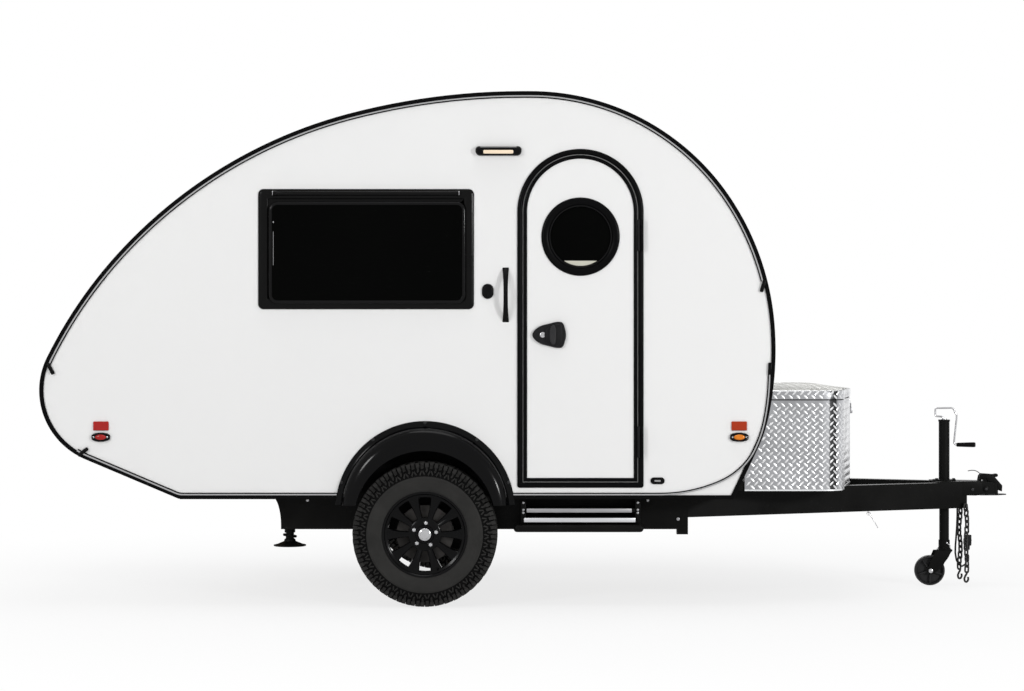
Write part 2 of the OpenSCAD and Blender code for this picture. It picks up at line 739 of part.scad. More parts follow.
// a strap up the box's rear wall, behind the lid, with a knuckle over the lid's edge
module box_knuckle(y) {
    y0 = y - lid_part / 2;
    y1 = y + lid_part / 2;
    tube_y(lid_hinge_r, lid_hinge_x, y0, y1, lid_hinge_z);
    across(y0, y1) difference() {
        intersection() {
            polygon(body_outline(-11, skirt_z));
            translate([0, box_split_z - 60]) square([front_x + 200, lid_hinge_z + lid_hinge_r - box_split_z + 60]);
        }
        polygon(body_outline(-7, skirt_z - 1));
    }
    across(y0, y1) difference() {
        intersection() {
            polygon(body_outline(-box_gap - 1, skirt_z));
            translate([0, box_split_z - 60]) square([front_x + 200, 52]);
        }
        polygon(body_outline(-10, skirt_z - 1));
    }
    block(lid_hinge_x - 16, lid_hinge_x, y0, y1, lid_hinge_z + 2, lid_hinge_z + lid_hinge_r);
}
module box_lid() {
    color([0.8, 0.81, 0.83]) difference() {
        union() {
            box_form(-lid_over, box_split_z + gap, box_top_z, box_gap);
            for (y = [-lid_hinge_y, lid_hinge_y]) {
                y0 = y - lid_part / 2;
                tube_y(lid_hinge_r, lid_hinge_x, y0, y0 + lid_part, lid_hinge_z);
                block(lid_hinge_x - 3, lid_hinge_x + 26, y0, y0 + lid_part, box_top_z - 1, lid_hinge_z - 1);
            }
        }
        box_form(box_sheet - lid_over, box_split_z, box_top_z - box_sheet, box_gap + box_sheet);
        for (y = [-lid_hinge_y, lid_hinge_y])
            tube_y(lid_pin_r + slip, lid_hinge_x, y - lid_part, y + lid_part, lid_hinge_z);
    }
}
box_latch_x = box_front_x + lid_over;
module box_latch() {
    color([0.7, 0.71, 0.73]) {
        block(box_front_x, box_front_x + 8, -30, 30, box_split_z - 90, box_split_z - 8);
        block(box_front_x + 8, box_front_x + 30, -14, 14, box_split_z - 80, box_split_z - 50);
    }
}

// ---------- coupler and jack ----------
jack_x = half_length - 330;
ball_x = half_length - 85;
plate_z = bar_top_z - 70;
module coupler() {
    color([0.05, 0.05, 0.055]) difference() {
        union() {
            // top plate over both drawbars, and the nose channel
            translate([0, 0, bar_top_z]) linear_extrude(5) polygon([
                [jack_x - 60, -118], [bar_front_x + 20, -66], [ball_x - 60, -50], [ball_x - 60, 50],
                [bar_front_x + 20, 66], [jack_x - 60, 118]]);
            for (s = [-1, 1]) scale([1, s, 1]) translate([0, 0, plate_z]) linear_extrude(70)
                polygon([[bar_front_x, -66], [ball_x - 60, -50], [ball_x - 60, -45], [bar_front_x, -60]]);
            // ball housing
            hull() {
                tube_z(42, ball_x, 0, plate_z + 4, bar_top_z - 6);
                block(ball_x - 66, ball_x - 60, -50, 50, plate_z + 4, bar_top_z + 5);
            }
            hull() {
                tube_z(60, ball_x, 0, plate_z, plate_z + 5);
                block(ball_x - 66, ball_x - 60, -62, 62, plate_z, plate_z + 5);
                tube_z(24, half_length - 24, 0, plate_z, plate_z + 5);
            }
            // lever of the latch
            hull() {
                tube_y(9, ball_x - 46, -14, 14, bar_top_z + 20);
                tube_y(9, ball_x + 30, -14, 14, bar_top_z + 34);
            }
            block(ball_x - 40, ball_x + 20, -16, 16, bar_top_z - 10, bar_top_z + 22);
        }
        tube_z(socket_radius, ball_x, 0, plate_z - 1, plate_z + 38);
        tube_z(jack_radius + slip, jack_x, 0, plate_z - 80, bar_top_z + 20);
    }
}
jack_top_z = bar_top_z + 326;
jack_low_z = bar_top_z - 82;
jack_bore = jack_radius - 2.5;
jack_leg_r = jack_bore - slip;
leg_top_z = jack_top_z - 190;
fork_z = 2 * caster_radius + 30;
module jack_tube() {
    color([0.05, 0.05, 0.055]) difference() {
        union() {
            tube_z(jack_radius, jack_x, 0, jack_low_z, jack_top_z);
            tube_z(jack_radius + 2.5, jack_x, 0, jack_top_z - 6, jack_top_z + 4);
            tube_z(62, jack_x, 0, bar_top_z + 5, bar_top_z + 12);
        }
        tube_z(jack_bore, jack_x, 0, jack_low_z - 1, jack_top_z - 8);
    }
}
crank_r = 6.5;
module rod(a, b, r) {
    d = b - a;
    l = norm(d);
    translate(a) rotate([0, acos(d[2] / l), atan2(d[1], d[0])]) cylinder(r = r, h = l, $fn = 24);
}
module jack_crank() {
    c = [jack_x, 0, jack_top_z + 4];
    pts = [c + [-4, 0, 0], c + [-4, 0, 16], c + [-47, 0, 16], c + [-47, 0, 62], c + [44, 0, 62], c + [67, 0, 30],
        c + [51, 0, -130]];
    color([0.75, 0.76, 0.78]) {
        for (i = [0 : len(pts) - 2]) rod(pts[i], pts[i + 1], crank_r);
        for (i = [1 : len(pts) - 2]) translate(pts[i]) sphere(crank_r + 0.5, $fn = 24);
        tube_x(13.5, pts[6][0] - 8, pts[6][0] + 114, 0, pts[6][2] - 4);
    }
}
module jack_leg() {
    color([0.06, 0.06, 0.065]) {
        tube_z(jack_leg_r, jack_x, 0, fork_z + 14, leg_top_z);
        tube_z(jack_leg_r + 4, jack_x, 0, fork_z + 12, fork_z + 52);
    }
}
caster_trail = 78;
caster_width = 46;
axle_pin_r = 8;
module caster_fork() {
    color([0.07, 0.07, 0.075]) {
        tube_z(jack_leg_r + 8, jack_x, 0, fork_z - 4, fork_z + 11);
        for (s = [-1, 1]) scale([1, s, 1]) across(-caster_width / 2 - gap - 5, -caster_width / 2 - gap) hull() {
            translate([jack_x - 12, fork_z - 4]) square([50, 6]);
            translate([jack_x - caster_trail, caster_radius]) circle(18, $fn = 32);
        }
        block(jack_x - 34, jack_x + 34, -caster_width / 2 - gap - 5, caster_width / 2 + gap + 5, fork_z - 4, fork_z + 2);
        tube_y(axle_pin_r, jack_x - caster_trail, -caster_width / 2 - gap - 10, caster_width / 2 + gap + 10,
            caster_radius);
    }
}
module caster_wheel() {
    color([0.08, 0.08, 0.08]) translate([jack_x - caster_trail, 0, caster_radius]) rotate([90, 0, 0]) difference() {
        cylinder(r = caster_radius, h = caster_width, center = true);
        cylinder(r = axle_pin_r + slip, h = caster_width + 2, center = true);
        for (s = [-1, 1]) translate([0, 0, s * caster_width / 2]) difference() {
            cylinder(r = caster_radius - 14, h = 20, center = true);
            cylinder(r = 20, h = 24, center = true);
        }
    }
}

// ---------- what hangs from the drawbars ----------
chain_top_z = bar_top_z - drawbar_height;
chain_x = bar_front_x - 8;
chain_y = bar_tip_y + 22;
chain_low_z = 9;
module chain() {
    difference() {
        union() {
            tube_z(11, chain_x, -chain_y, chain_low_z, chain_top_z + 20);
            tube_y(8, chain_x, -chain_y, -bar_tip_y, chain_top_z + 20);
        }
        translate([0, 0, chain_top_z]) linear_extrude(drawbar_height) drawbar_plan(-slip);
    }
}
module safety_chains() {
    color([0.1, 0.1, 0.1]) {
        chain();
        on_left() chain();
    }
}
// the lighting lead: out of a grommet under the left drawbar, down, and up again to its plug
cable_r = 5;
cable_route = [[0, 0, 0], [0, 0, -40], [-2, 2, -100], [-6, 3, -160], [-9, 4, -200], [-10, 4, -240], [-4, 4, -278],
    [8, 4, -302], [26, 4, -312], [43, 4, -302], [53, 4, -276], [56, 4, -246], [56, 4, -224]];
cable_start = [bar_front_x - 30, bar_tip_y - 20, chain_top_z - 8.2];
function tangent(pts, i) = pts[min(i + 1, len(pts) - 1)] - pts[max(i - 1, 0)];
function ring_at(p, t, r) = let (v = cross(t, [0, 1, 0]), w = cross(t, v))
    [for (i = [0 : 7]) p + r * (cos(45 * i) * v / norm(v) + sin(45 * i) * w / norm(w))];
module light_cable() {
    n = len(cable_route);
    pts = [for (i = [0 : n - 1]) each ring_at(cable_start + cable_route[i], tangent(cable_route, i), cable_r)];
    faces = concat([for (j = [0 : n - 2], i = [0 : 7]) [j * 8 + i, (j + 1) * 8 + i, (j + 1) * 8 + (i + 1) % 8,
        j * 8 + (i + 1) % 8]], [[for (i = [0 : 7]) i], [for (i = [7 : -1 : 0]) (n - 1) * 8 + i]]);
    color([0.06, 0.06, 0.06]) polyhedron(pts, faces);
}
module cable_grommet() {
    color([0.07, 0.07, 0.07]) tube_z(11, cable_start[0], cable_start[1], chain_top_z - 8, chain_top_z);
}
module light_plug() {
    p = cable_start + cable_route[len(cable_route) - 1];
    color([0.07, 0.07, 0.07]) {
        tube_z(12, p[0], p[1], p[2] + 0.2, p[2] + 22);
        tube_z(22, p[0], p[1], p[2] + 22, p[2] + 80);
    }
}

// ---------- inside ----------
inner_y = half_w - side_wall - 6;
seat_z = frame_z + floor_wall;
module galley_cabinet() {
    color([0.72, 0.62, 0.46]) block(door_x + 330, front_x - 210, -inner_y + 300, inner_y, seat_z, seat_z + 860);
}
bench_x0 = window_x - 480;
bench_x1 = window_x + 560;
module bench_base() {
    color([0.72, 0.62, 0.46]) for (s = [-1, 1]) scale([1, s, 1]) difference() {
        block(bench_x0, bench_x1, -inner_y, -housing_y + 120, seat_z, seat_z + 340);
        across(-half_w, -housing_y + gap) arch_area(arch_r + housing_t + gap);
    }
}
module bench_cushions() {
    color([0.5, 0.5, 0.52]) for (s = [-1, 1]) scale([1, s, 1])
        block(bench_x0, bench_x1, -inner_y, -housing_y + 120, seat_z + 341, seat_z + 441);
}

main_rail();  // main_rail_right
on_left() main_rail();  // main_rail_left
drawbar();  // drawbar_right
on_left() drawbar();  // drawbar_left
cross_members();
axle_beam();
axle_arm();  // axle_arm_right
on_left() axle_arm();  // axle_arm_left
tyre();  // tyre_right
on_left() tyre();  // tyre_left
wheel_rim();  // wheel_rim_right
on_left() wheel_rim();  // wheel_rim_left
brake_drum();  // brake_drum_right
on_left() brake_drum();  // brake_drum_left
mudguard();  // mudguard_right
on_left() mudguard();  // mudguard_left
wheel_housings();
floor();
side_wall_right();
side_wall_left();
front_panel();
roof_panel();
rear_panel();
rear_lower_panel();
edge_trim();  // edge_trim_right
on_left() edge_trim();  // edge_trim_left
door_frame();
entry_door();
door_pane();
door_latch();
side_window();  // side_window_right
on_left() side_window();  // side_window_left
rear_window();
roof_vent();
grab_handle();
porch_light();
side_fittings();
marker_lamps();
tail_lamps();
number_plate();
entry_step();
stabilizer_mounts();
stabilizer_leg();  // stabilizer_leg_right
on_left() stabilizer_leg();  // stabilizer_leg_left
front_box();
box_lid();
box_latch();
coupler();
jack_tube();
jack_crank();
jack_leg();
caster_fork();
caster_wheel();
safety_chains();
cable_grommet();
light_cable();
light_plug();
galley_cabinet();
bench_base();
bench_cushions();
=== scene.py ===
import json
import math
import random

import bmesh
import bpy
from mathutils import Matrix, Vector


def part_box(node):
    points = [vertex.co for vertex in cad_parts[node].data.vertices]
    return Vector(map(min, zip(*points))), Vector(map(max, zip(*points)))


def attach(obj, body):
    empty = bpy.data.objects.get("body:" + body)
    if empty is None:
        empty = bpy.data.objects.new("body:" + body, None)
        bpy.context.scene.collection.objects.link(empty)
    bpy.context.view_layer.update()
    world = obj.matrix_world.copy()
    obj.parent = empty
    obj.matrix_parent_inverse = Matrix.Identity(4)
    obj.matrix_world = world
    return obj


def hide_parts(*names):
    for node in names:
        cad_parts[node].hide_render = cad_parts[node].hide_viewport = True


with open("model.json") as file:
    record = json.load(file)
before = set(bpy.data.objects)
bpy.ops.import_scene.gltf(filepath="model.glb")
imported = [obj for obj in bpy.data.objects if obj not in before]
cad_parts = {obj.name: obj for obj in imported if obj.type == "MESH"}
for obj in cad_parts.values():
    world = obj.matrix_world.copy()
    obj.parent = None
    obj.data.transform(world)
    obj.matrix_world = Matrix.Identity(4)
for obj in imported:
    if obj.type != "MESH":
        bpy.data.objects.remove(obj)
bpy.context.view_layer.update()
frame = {"nodes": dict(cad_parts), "record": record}
nodeSlots = {s["node"]: s["material_slot"] for s in frame["record"]["subparts"]}
random.seed(7)
materials = {}
print("frame loaded")

wallLow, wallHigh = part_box("side_wall_right")
halfWidth = -wallLow[1]
frontX, rearX = wallHigh[0], wallLow[0]
skirtZ, roofZ = wallLow[2], wallHigh[2]
tyreLow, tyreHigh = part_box("tyre_right")
hubX, hubZ = (tyreLow[0] + tyreHigh[0]) / 2, (tyreLow[2] + tyreHigh[2]) / 2
tyreRadius = (tyreHigh[2] - tyreLow[2]) / 2
tyreY = (tyreLow[1] + tyreHigh[1]) / 2
tyreWidth = tyreHigh[1] - tyreLow[1]
doorLow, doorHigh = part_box("door_frame")
paneLow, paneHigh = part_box("door_pane")
doorMiddle = (paneLow[0] + paneHigh[0]) / 2 - 0.0005


viewSettings = {
    "from": (-0.158, -12.035, 1.306),   # where the camera stands
    "lens": 79.42,
    "shiftY": -0.0054,
}


def makeCamera():
    data = bpy.data.cameras.new("camera")
    data.lens = viewSettings["lens"]
    data.shift_y = viewSettings["shiftY"]
    data.clip_end = 200
    cam = bpy.data.objects.new("camera", data)
    cam.location = viewSettings["from"]
    cam.rotation_euler = (math.radians(90), 0, 0)
    bpy.context.collection.objects.link(cam)
    bpy.context.scene.camera = cam


lampSettings = {
    # name: (place, aim, size, power)
    "keyLamp": ((8.5, -9.5, 3.4), (0, 0, 1.2), 1.5, 560),
    "fillLamp": ((-7.0, -9.0, 5.0), (-0.4, 0, 1.0), 2.0, 300),
    "topLamp": ((0.0, -0.8, 8.0), (0, 0, 1.0), 5.0, 215),
    "backLamp": ((1.0, 8.0, 4.5), (0, 0, 1.0), 4.0, 215),
}


def makeLamps():
    for name, (place, aim, size, power) in lampSettings.items():
        data = bpy.data.lights.new(name, "AREA")
        data.shape = "DISK"
        data.size = size
        data.energy = power
        lamp = bpy.data.objects.new(name, data)
        lamp.location = place
        lamp.rotation_euler = (Vector(aim) - Vector(place)).to_track_quat("-Z", "Y").to_euler()
        bpy.context.collection.objects.link(lamp)

groundSettings = {
    "size": 90.0,
    "colour": (0.8, 0.8, 0.805, 1),
    "worldLight": 0.42,
    # the fade to white starts and ends at these distances, on an oval of this many units per metre
    "fade": (0.3, 1.25),
    "oval": (0.26, 0.3, 0),
    "fadeLow": 0.78,
}


def addNode(nodes, kind, values=None, operation=None):
    made = nodes.new("ShaderNode" + kind)
    if operation:
        made.operation = operation
    for name, value in (values or {}).items():
        made.inputs[name].default_value = value
    return made


# links the sources to a node's first inputs
def fed(links, node, *sources):
    for socket, source in zip(node.inputs, sources):
        links.new(source, socket)
    return node.outputs[0]


# camera, mirror or glass rays: what looks straight at the surface
def seenDirectly(nodes, links):
    path = nodes.new("ShaderNodeLightPath")
    total = path.outputs["Is Camera Ray"]
    for name in ("Is Glossy Ray", "Is Transmission Ray"):
        total = fed(links, addNode(nodes, "Math", operation="MAXIMUM"), total, path.outputs[name])
    return total


def makeWorld():
    world = bpy.data.worlds.new("studio")
    bpy.context.scene.world = world
    world.use_nodes = True
    nodes, links = world.node_tree.nodes, world.node_tree.links
    nodes.clear()
    plain = addNode(nodes, "Background", {"Color": (1, 1, 1, 1), "Strength": groundSettings["worldLight"]})
    white = addNode(nodes, "Background", {"Color": (1, 1, 1, 1), "Strength": 1.0})
    mix = addNode(nodes, "MixShader")
    fed(links, mix, seenDirectly(nodes, links), plain.outputs[0], white.outputs[0])
    links.new(mix.outputs[0], nodes.new("ShaderNodeOutputWorld").inputs["Surface"])


# the floor is pale near the trailer and fades into the white background
def makeGround():
    mesh = bpy.data.meshes.new("ground")
    bm = bmesh.new()
    bmesh.ops.create_grid(bm, x_segments=1, y_segments=1, size=groundSettings["size"] / 2)
    bm.to_mesh(mesh)
    bm.free()
    ground = bpy.data.objects.new("ground", mesh)
    bpy.context.collection.objects.link(ground)
    mat = bpy.data.materials.new("groundPaper")
    mat.use_nodes = True
    nodes, links = mat.node_tree.nodes, mat.node_tree.links
    nodes.clear()
    diffuse = addNode(nodes, "BsdfDiffuse", {"Color": groundSettings["colour"]})
    glow = addNode(nodes, "Emission", {"Strength": 1.0})
    flat = addNode(nodes, "VectorMath", {1: groundSettings["oval"]}, "MULTIPLY")
    length = addNode(nodes, "VectorMath", operation="LENGTH")
    fed(links, length, fed(links, flat, texCoords(nodes)))
    near, far = groundSettings["fade"]
    fade = addNode(nodes, "MapRange", {"From Min": near, "From Max": far, "To Min": groundSettings["fadeLow"]})
    fade.interpolation_type = "SMOOTHSTEP"
    links.new(length.outputs["Value"], fade.inputs["Value"])
    amount = addNode(nodes, "Math", operation="MULTIPLY")
    fed(links, amount, fade.outputs[0], seenDirectly(nodes, links))
    mix = addNode(nodes, "MixShader")
    fed(links, mix, amount.outputs[0], diffuse.outputs[0], glow.outputs[0])
    links.new(mix.outputs[0], nodes.new("ShaderNodeOutputMaterial").inputs["Surface"])
    mesh.materials.append(mat)


finishes = {
    # colour, its change of tone, roughness, its change, grain per metre, depth of the grain, other qualities
    "white_skin": ((0.82, 0.82, 0.815), 0.992, 0.32, 0.02, 5, 0.02, {"coat": 0.2}),
    "black_frame": ((0.004, 0.004, 0.0038), 1.6, 0.36, 0.1, 60, 0.12, {"shine": 0.05}),
    "wheel_gloss": ((0.0014, 0.0014, 0.0016), 1.5, 0.17, 0.05, 80, 0.02, {"shine": 0.09}),
    "drum_iron": ((0.03, 0.027, 0.025), 0.5, 0.6, 0.2, 90, 0.3, {"metal": 0.5}),
    "guard_gloss": ((0.0008, 0.0008, 0.001), 1.5, 0.14, 0.03, 30, 0.01, {"shine": 0.1}),
    "housing_plastic": ((0.005, 0.005, 0.0052), 1.4, 0.7, 0.1, 150, 0.3, {"shine": 0.05}),
    "trim_black": ((0.0018, 0.0018, 0.002), 1.5, 0.3, 0.08, 60, 0.05, {"shine": 0.04}),
    "window_trim": ((0.0022, 0.0022, 0.0022), 1.5, 0.2, 0.05, 60, 0.02, {"shine": 0.09}),
    "latch_black": ((0.007, 0.007, 0.0075), 1.5, 0.4, 0.1, 400, 0.12, {"shine": 0.12}),
    "vent_plastic": ((0.72, 0.72, 0.7), 0.95, 0.5, 0.1, 200, 0.08, {}),
    "bright_metal": ((0.5, 0.5, 0.51), 0.85, 0.2, 0.08, 120, 0.02, {"metal": 1}),
    "rail_metal": ((0.78, 0.79, 0.8), 0.94, 0.3, 0.1, 90, 0.02, {"metal": 0.85}),
    "rail_grey": ((0.4, 0.4, 0.405), 0.9, 0.3, 0.1, 90, 0.02, {"metal": 0.85}),
    "fitting_black": ((0.003, 0.003, 0.0032), 1.5, 0.34, 0.1, 300, 0.12, {"shine": 0.06}),
    "plate_blank": ((0.7, 0.71, 0.72), 0.93, 0.35, 0.1, 40, 0.03, {"metal": 0.9}),
    "step_alu": ((0.62, 0.63, 0.65), 0.85, 0.34, 0.12, 90, 0.05, {"metal": 1}),
    "zinc": ((0.36, 0.36, 0.37), 0.8, 0.32, 0.15, 120, 0.06, {"metal": 1}),
    "chain_steel": ((0.012, 0.012, 0.0115), 2.0, 0.42, 0.15, 250, 0.25, {"shine": 0.2}),
    "cable_rubber": ((0.005, 0.005, 0.005), 1.5, 0.6, 0.1, 300, 0.15, {"shine": 0.1}),
    "plug_plastic": ((0.006, 0.006, 0.0063), 1.5, 0.5, 0.12, 300, 0.12, {"shine": 0.12}),
    "caster_plastic": ((0.011, 0.011, 0.0115), 1.7, 0.5, 0.12, 200, 0.2, {"shine": 0.15}),
    # darker copy of the tyre rubber for the carcass: painted shade in the grooves
    "tyre_groove_painted_shade": ((0.004, 0.004, 0.004), 1.5, 0.8, 0.1, 90, 0.3, {"shine": 0.05}),
    "tyre": ((0.016, 0.0157, 0.015), 1.8, 0.68, 0.12, 90, 0.3, {"shine": 0.12}),
    "paddle_grey": ((0.022, 0.022, 0.023), 1.3, 0.4, 0.1, 300, 0.1, {"shine": 0.15}),
    # pale cream standing for painted light seen through the gap under the door's blind
    "painted_light_cream": ((0.6, 0.59, 0.5), 0.93, 0.6, 0.1, 200, 0.1, {}),
    "red_lens": ((0.42, 0.008, 0.005), 0.8, 0.14, 0.06, 40, 0.02, {"shine": 0.3}),
    "orange_lens": ((0.42, 0.035, 0.006), 0.85, 0.2, 0.06, 40, 0.05, {"shine": 0.2}),
    "amber_lens": ((0.85, 0.24, 0.01), 0.7, 0.14, 0.06, 200, 0.15, {"shine": 0.3}),
    "warm_lens": ((0.95, 0.78, 0.58), 0.93, 0.35, 0.1, 90, 0.02, {}),
    "dark_acrylic": ((0.0012, 0.0013, 0.0012), 1.4, 0.05, 0.03, 3, 0.004, {"shine": 0.012}),
    "acrylic_rim": ((0.002, 0.002, 0.0022), 1.5, 0.15, 0.04, 20, 0.01, {"shine": 0.12}),
    "seal_rubber": ((0.0025, 0.0025, 0.0025), 1.5, 0.6, 0.1, 300, 0.2, {"shine": 0.05}),
    # grey for painted light on black parts: the porch housing's lit top, the door's lit groove and the port's slot
    "painted_light_grey": ((0.3, 0.3, 0.3), 0.9, 0.5, 0.1, 100, 0.05, {}),
}
def texCoords(nodes):
    return nodes.new("ShaderNodeTexCoord").outputs["Object"]


def blankMaterial(name):
    mat = bpy.data.materials.new(name)
    mat.use_nodes = True
    nodes, links = mat.node_tree.nodes, mat.node_tree.links
    return mat, nodes, links, nodes["Principled BSDF"]


def noiseNode(nodes, links, vector, scale, detail=3.0):
    noise = addNode(nodes, "TexNoise", {"Scale": scale, "Detail": detail})
    links.new(vector, noise.inputs["Vector"])
    return noise.outputs["Fac"]


# noise lies mostly between 0.3 and 0.7, and this spreads it from low to high
def ranged(nodes, links, value, low, high):
    span = addNode(nodes, "MapRange", {"From Min": 0.3, "From Max": 0.7, "To Min": low, "To Max": high})
    links.new(value, span.inputs["Value"])
    return span.outputs["Result"]


def mixedColour(nodes, links, factor, first, second):
    mix = nodes.new("ShaderNodeMix")
    mix.data_type = "RGBA"
    mix.inputs["A"].default_value = (*first, 1)
    mix.inputs["B"].default_value = (*second, 1)
    links.new(factor, mix.inputs["Factor"])
    return mix.outputs["Result"]


def bumped(nodes, links, shader, height, strength):
    bump = addNode(nodes, "Bump", {"Strength": strength, "Distance": 0.001})
    links.new(height, bump.inputs["Height"])
    links.new(bump.outputs["Normal"], shader.inputs["Normal"])


def makeFinish(name, colour, tone, rough, spread, grain, bump, other):
    mat, nodes, links, shader = blankMaterial(name)
    place = texCoords(nodes)
    cloud = noiseNode(nodes, links, place, max(1.5, grain / 12))
    fine = noiseNode(nodes, links, place, grain * 6, 5.0)
    patches = tuple(min(1, c * tone) for c in colour)
    tint = mixedColour(nodes, links, ranged(nodes, links, cloud, 0, 1), colour, patches)
    links.new(tint, shader.inputs["Base Color"])
    links.new(ranged(nodes, links, cloud, max(0.02, rough - spread), rough + spread), shader.inputs["Roughness"])
    shader.inputs["Metallic"].default_value = other.get("metal", 0)
    shader.inputs["Coat Weight"].default_value = other.get("coat", 0)
    shader.inputs["Specular IOR Level"].default_value = other.get("shine", 0.5)
    shader.inputs["Coat Roughness"].default_value = 0.05
    bumped(nodes, links, shader, fine, bump)
    return mat


def makeWood(name, pale, dark, rough):
    mat, nodes, links, shader = blankMaterial(name)
    stretch = addNode(nodes, "Mapping", {"Scale": (2.0, 30.0, 30.0)})
    links.new(texCoords(nodes), stretch.inputs["Vector"])
    grain = noiseNode(nodes, links, stretch.outputs["Vector"], 3.0, 6.0)
    tint = mixedColour(nodes, links, ranged(nodes, links, grain, 0, 1), pale, dark)
    links.new(tint, shader.inputs["Base Color"])
    links.new(ranged(nodes, links, grain, rough - 0.1, rough + 0.1), shader.inputs["Roughness"])
    bumped(nodes, links, shader, grain, 0.2)
    return mat


def makeCloth(name, first, second):
    mat, nodes, links, shader = blankMaterial(name)
    place = texCoords(nodes)
    waves = []
    for direction in ("X", "Y"):
        wave = addNode(nodes, "TexWave", {"Scale": 90, "Distortion": 0.6})
        wave.bands_direction = direction
        links.new(place, wave.inputs["Vector"])
        waves.append(wave.outputs["Fac"])
    weave = fed(links, addNode(nodes, "Math", operation="MAXIMUM"), *waves)
    links.new(mixedColour(nodes, links, weave, second, first), shader.inputs["Base Color"])
    shader.inputs["Roughness"].default_value = 0.9
    shader.inputs["Sheen Weight"].default_value = 0.3
    bumped(nodes, links, shader, weave, 0.5)
    return mat


# chequer plate: a darker tone for the sheet and a paler one for its bars, painted shade and highlight of one metal;
# by the way the surface faces, a painted dark reflection where it turns a corner and a painted highlight beyond it
def makeTread(name, colour, rough, paintedReflectionStops, metal=1.0):
    mat, nodes, links, shader = blankMaterial(name)
    place = texCoords(nodes)
    turned = nodes.new("ShaderNodeSeparateXYZ")
    links.new(nodes.new("ShaderNodeNewGeometry").outputs["Normal"], turned.inputs[0])
    # painted reflection: the tone follows the normal's X and is multiplied into the colour
    ramp = nodes.new("ShaderNodeValToRGB")
    while len(ramp.color_ramp.elements) < len(paintedReflectionStops):
        ramp.color_ramp.elements.new(0.5)
    for element, (at, tone) in zip(ramp.color_ramp.elements, paintedReflectionStops):
        element.position = at
        element.color = (tone, tone, tone, 1)
    links.new(turned.outputs["X"], ramp.inputs["Fac"])
    cloud = noiseNode(nodes, links, place, 5.0)
    fine = noiseNode(nodes, links, place, 420, 5.0)
    tint = mixedColour(nodes, links, ranged(nodes, links, cloud, 0, 1), colour, tuple(c * 0.72 for c in colour))
    shade = nodes.new("ShaderNodeMix")
    shade.data_type = "RGBA"
    shade.blend_type = "MULTIPLY"
    shade.inputs["Factor"].default_value = 1.0
    links.new(tint, shade.inputs["A"])
    links.new(ramp.outputs["Color"], shade.inputs["B"])
    links.new(shade.outputs["Result"], shader.inputs["Base Color"])
    links.new(ranged(nodes, links, cloud, rough, rough + 0.14), shader.inputs["Roughness"])
    shader.inputs["Metallic"].default_value = metal
    shader.inputs["Specular IOR Level"].default_value = 0.3
    bumped(nodes, links, shader, fine, 0.05)
    return mat


treadTones = {
    # the sheet darker and the bars paler: painted shade between the bars and painted highlight on them
    "sheet": (0.40, 0.405, 0.42),
    "bars": (0.96, 0.965, 0.975),
    "top": (0.58, 0.58, 0.56),
    "rough": 0.2,
    # painted reflection and highlight: tone by the normal's X, dark where the plate turns, bright beyond
    "paintedReflectionStops": ((0.0, 0.95), (0.09, 1.1), (0.19, 0.9), (0.27, 0.1), (0.52, 0.12), (0.63, 1.3), (0.9, 1.7)),
    "barStops": ((0.0, 1.0), (1.0, 1.0)),
    "topRough": 0.5,
    "topMetal": 0.25,
}
def makeMaterials():
    t = treadTones
    materials["tread_plate"] = makeTread("tread_plate", t["sheet"], t["rough"], t["paintedReflectionStops"])
    materials["tread_top"] = makeTread("tread_top", t["top"], t["topRough"], t["barStops"], t["topMetal"])
    materials["tread_bars"] = makeTread("tread_bars", t["bars"], t["rough"], t["barStops"])
    for name, values in finishes.items():
        materials[name] = makeFinish(name, *values)
    materials["floor_ply"] = makeWood("floor_ply", (0.28, 0.2, 0.12), (0.2, 0.13, 0.07), 0.55)
    materials["cabinet_wood"] = makeWood("cabinet_wood", (0.55, 0.42, 0.27), (0.42, 0.3, 0.18), 0.4)
    materials["cushion_cloth"] = makeCloth("cushion_cloth", (0.16, 0.165, 0.18), (0.07, 0.072, 0.08))
    materials["lamp_lens"] = materials["red_lens"]
    materials["window_dark"] = materials["dark_acrylic"]


def addPiece(bm, name, body, finish, smooth=35, replaced=(), bevel=0.0, shell=0.0):
    bmesh.ops.remove_doubles(bm, verts=bm.verts, dist=0.00002)
    bmesh.ops.recalc_face_normals(bm, faces=bm.faces)
    mesh = bpy.data.meshes.new(name)
    bm.to_mesh(mesh)
    bm.free()
    mesh.shade_smooth()
    mesh.set_sharp_from_angle(angle=math.radians(smooth))
    piece = bpy.data.objects.new(name, mesh)
    bpy.context.collection.objects.link(piece)
    mesh.materials.append(materials[finish])
    if shell:
        wall = piece.modifiers.new("wall", "SOLIDIFY")
        wall.thickness = shell
        wall.offset = -1
    if bevel:
        edge = piece.modifiers.new("edge", "BEVEL")
        edge.width = bevel
        edge.segments = 2
        edge.limit_method = "ANGLE"
        edge.angle_limit = math.radians(40)
        edge.harden_normals = True
    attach(piece, body)
    if replaced:
        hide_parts(*replaced)
    return piece


def merged(bm, other):
    mesh = bpy.data.meshes.new("part")
    other.to_mesh(mesh)
    other.free()
    bm.from_mesh(mesh)
    bpy.data.meshes.remove(mesh)


def mirrored(bm):
    copy = bm.copy()
    bmesh.ops.scale(copy, vec=(1, -1, 1), verts=copy.verts)
    bmesh.ops.reverse_faces(copy, faces=copy.faces)
    return copy


def boxShape(bm, low, high, bevel=0.0, segments=2):
    low, high = Vector(low), Vector(high)
    place = Matrix.Translation((low + high) / 2) @ Matrix.Diagonal((*(high - low), 1))
    made = bmesh.ops.create_cube(bm, size=1, matrix=place)["verts"]
    if bevel:
        edges = list(dict.fromkeys(e for v in made for e in v.link_edges))
        bmesh.ops.bevel(bm, geom=edges, offset=bevel, segments=segments, profile=0.5, affect="EDGES", material=-1,
                        clamp_overlap=True)
    return made


turns = {
    "X": Matrix.Rotation(math.radians(90), 4, "Y"),
    "Y": Matrix.Rotation(math.radians(90), 4, "X"),
    "Z": Matrix.Identity(4),
}


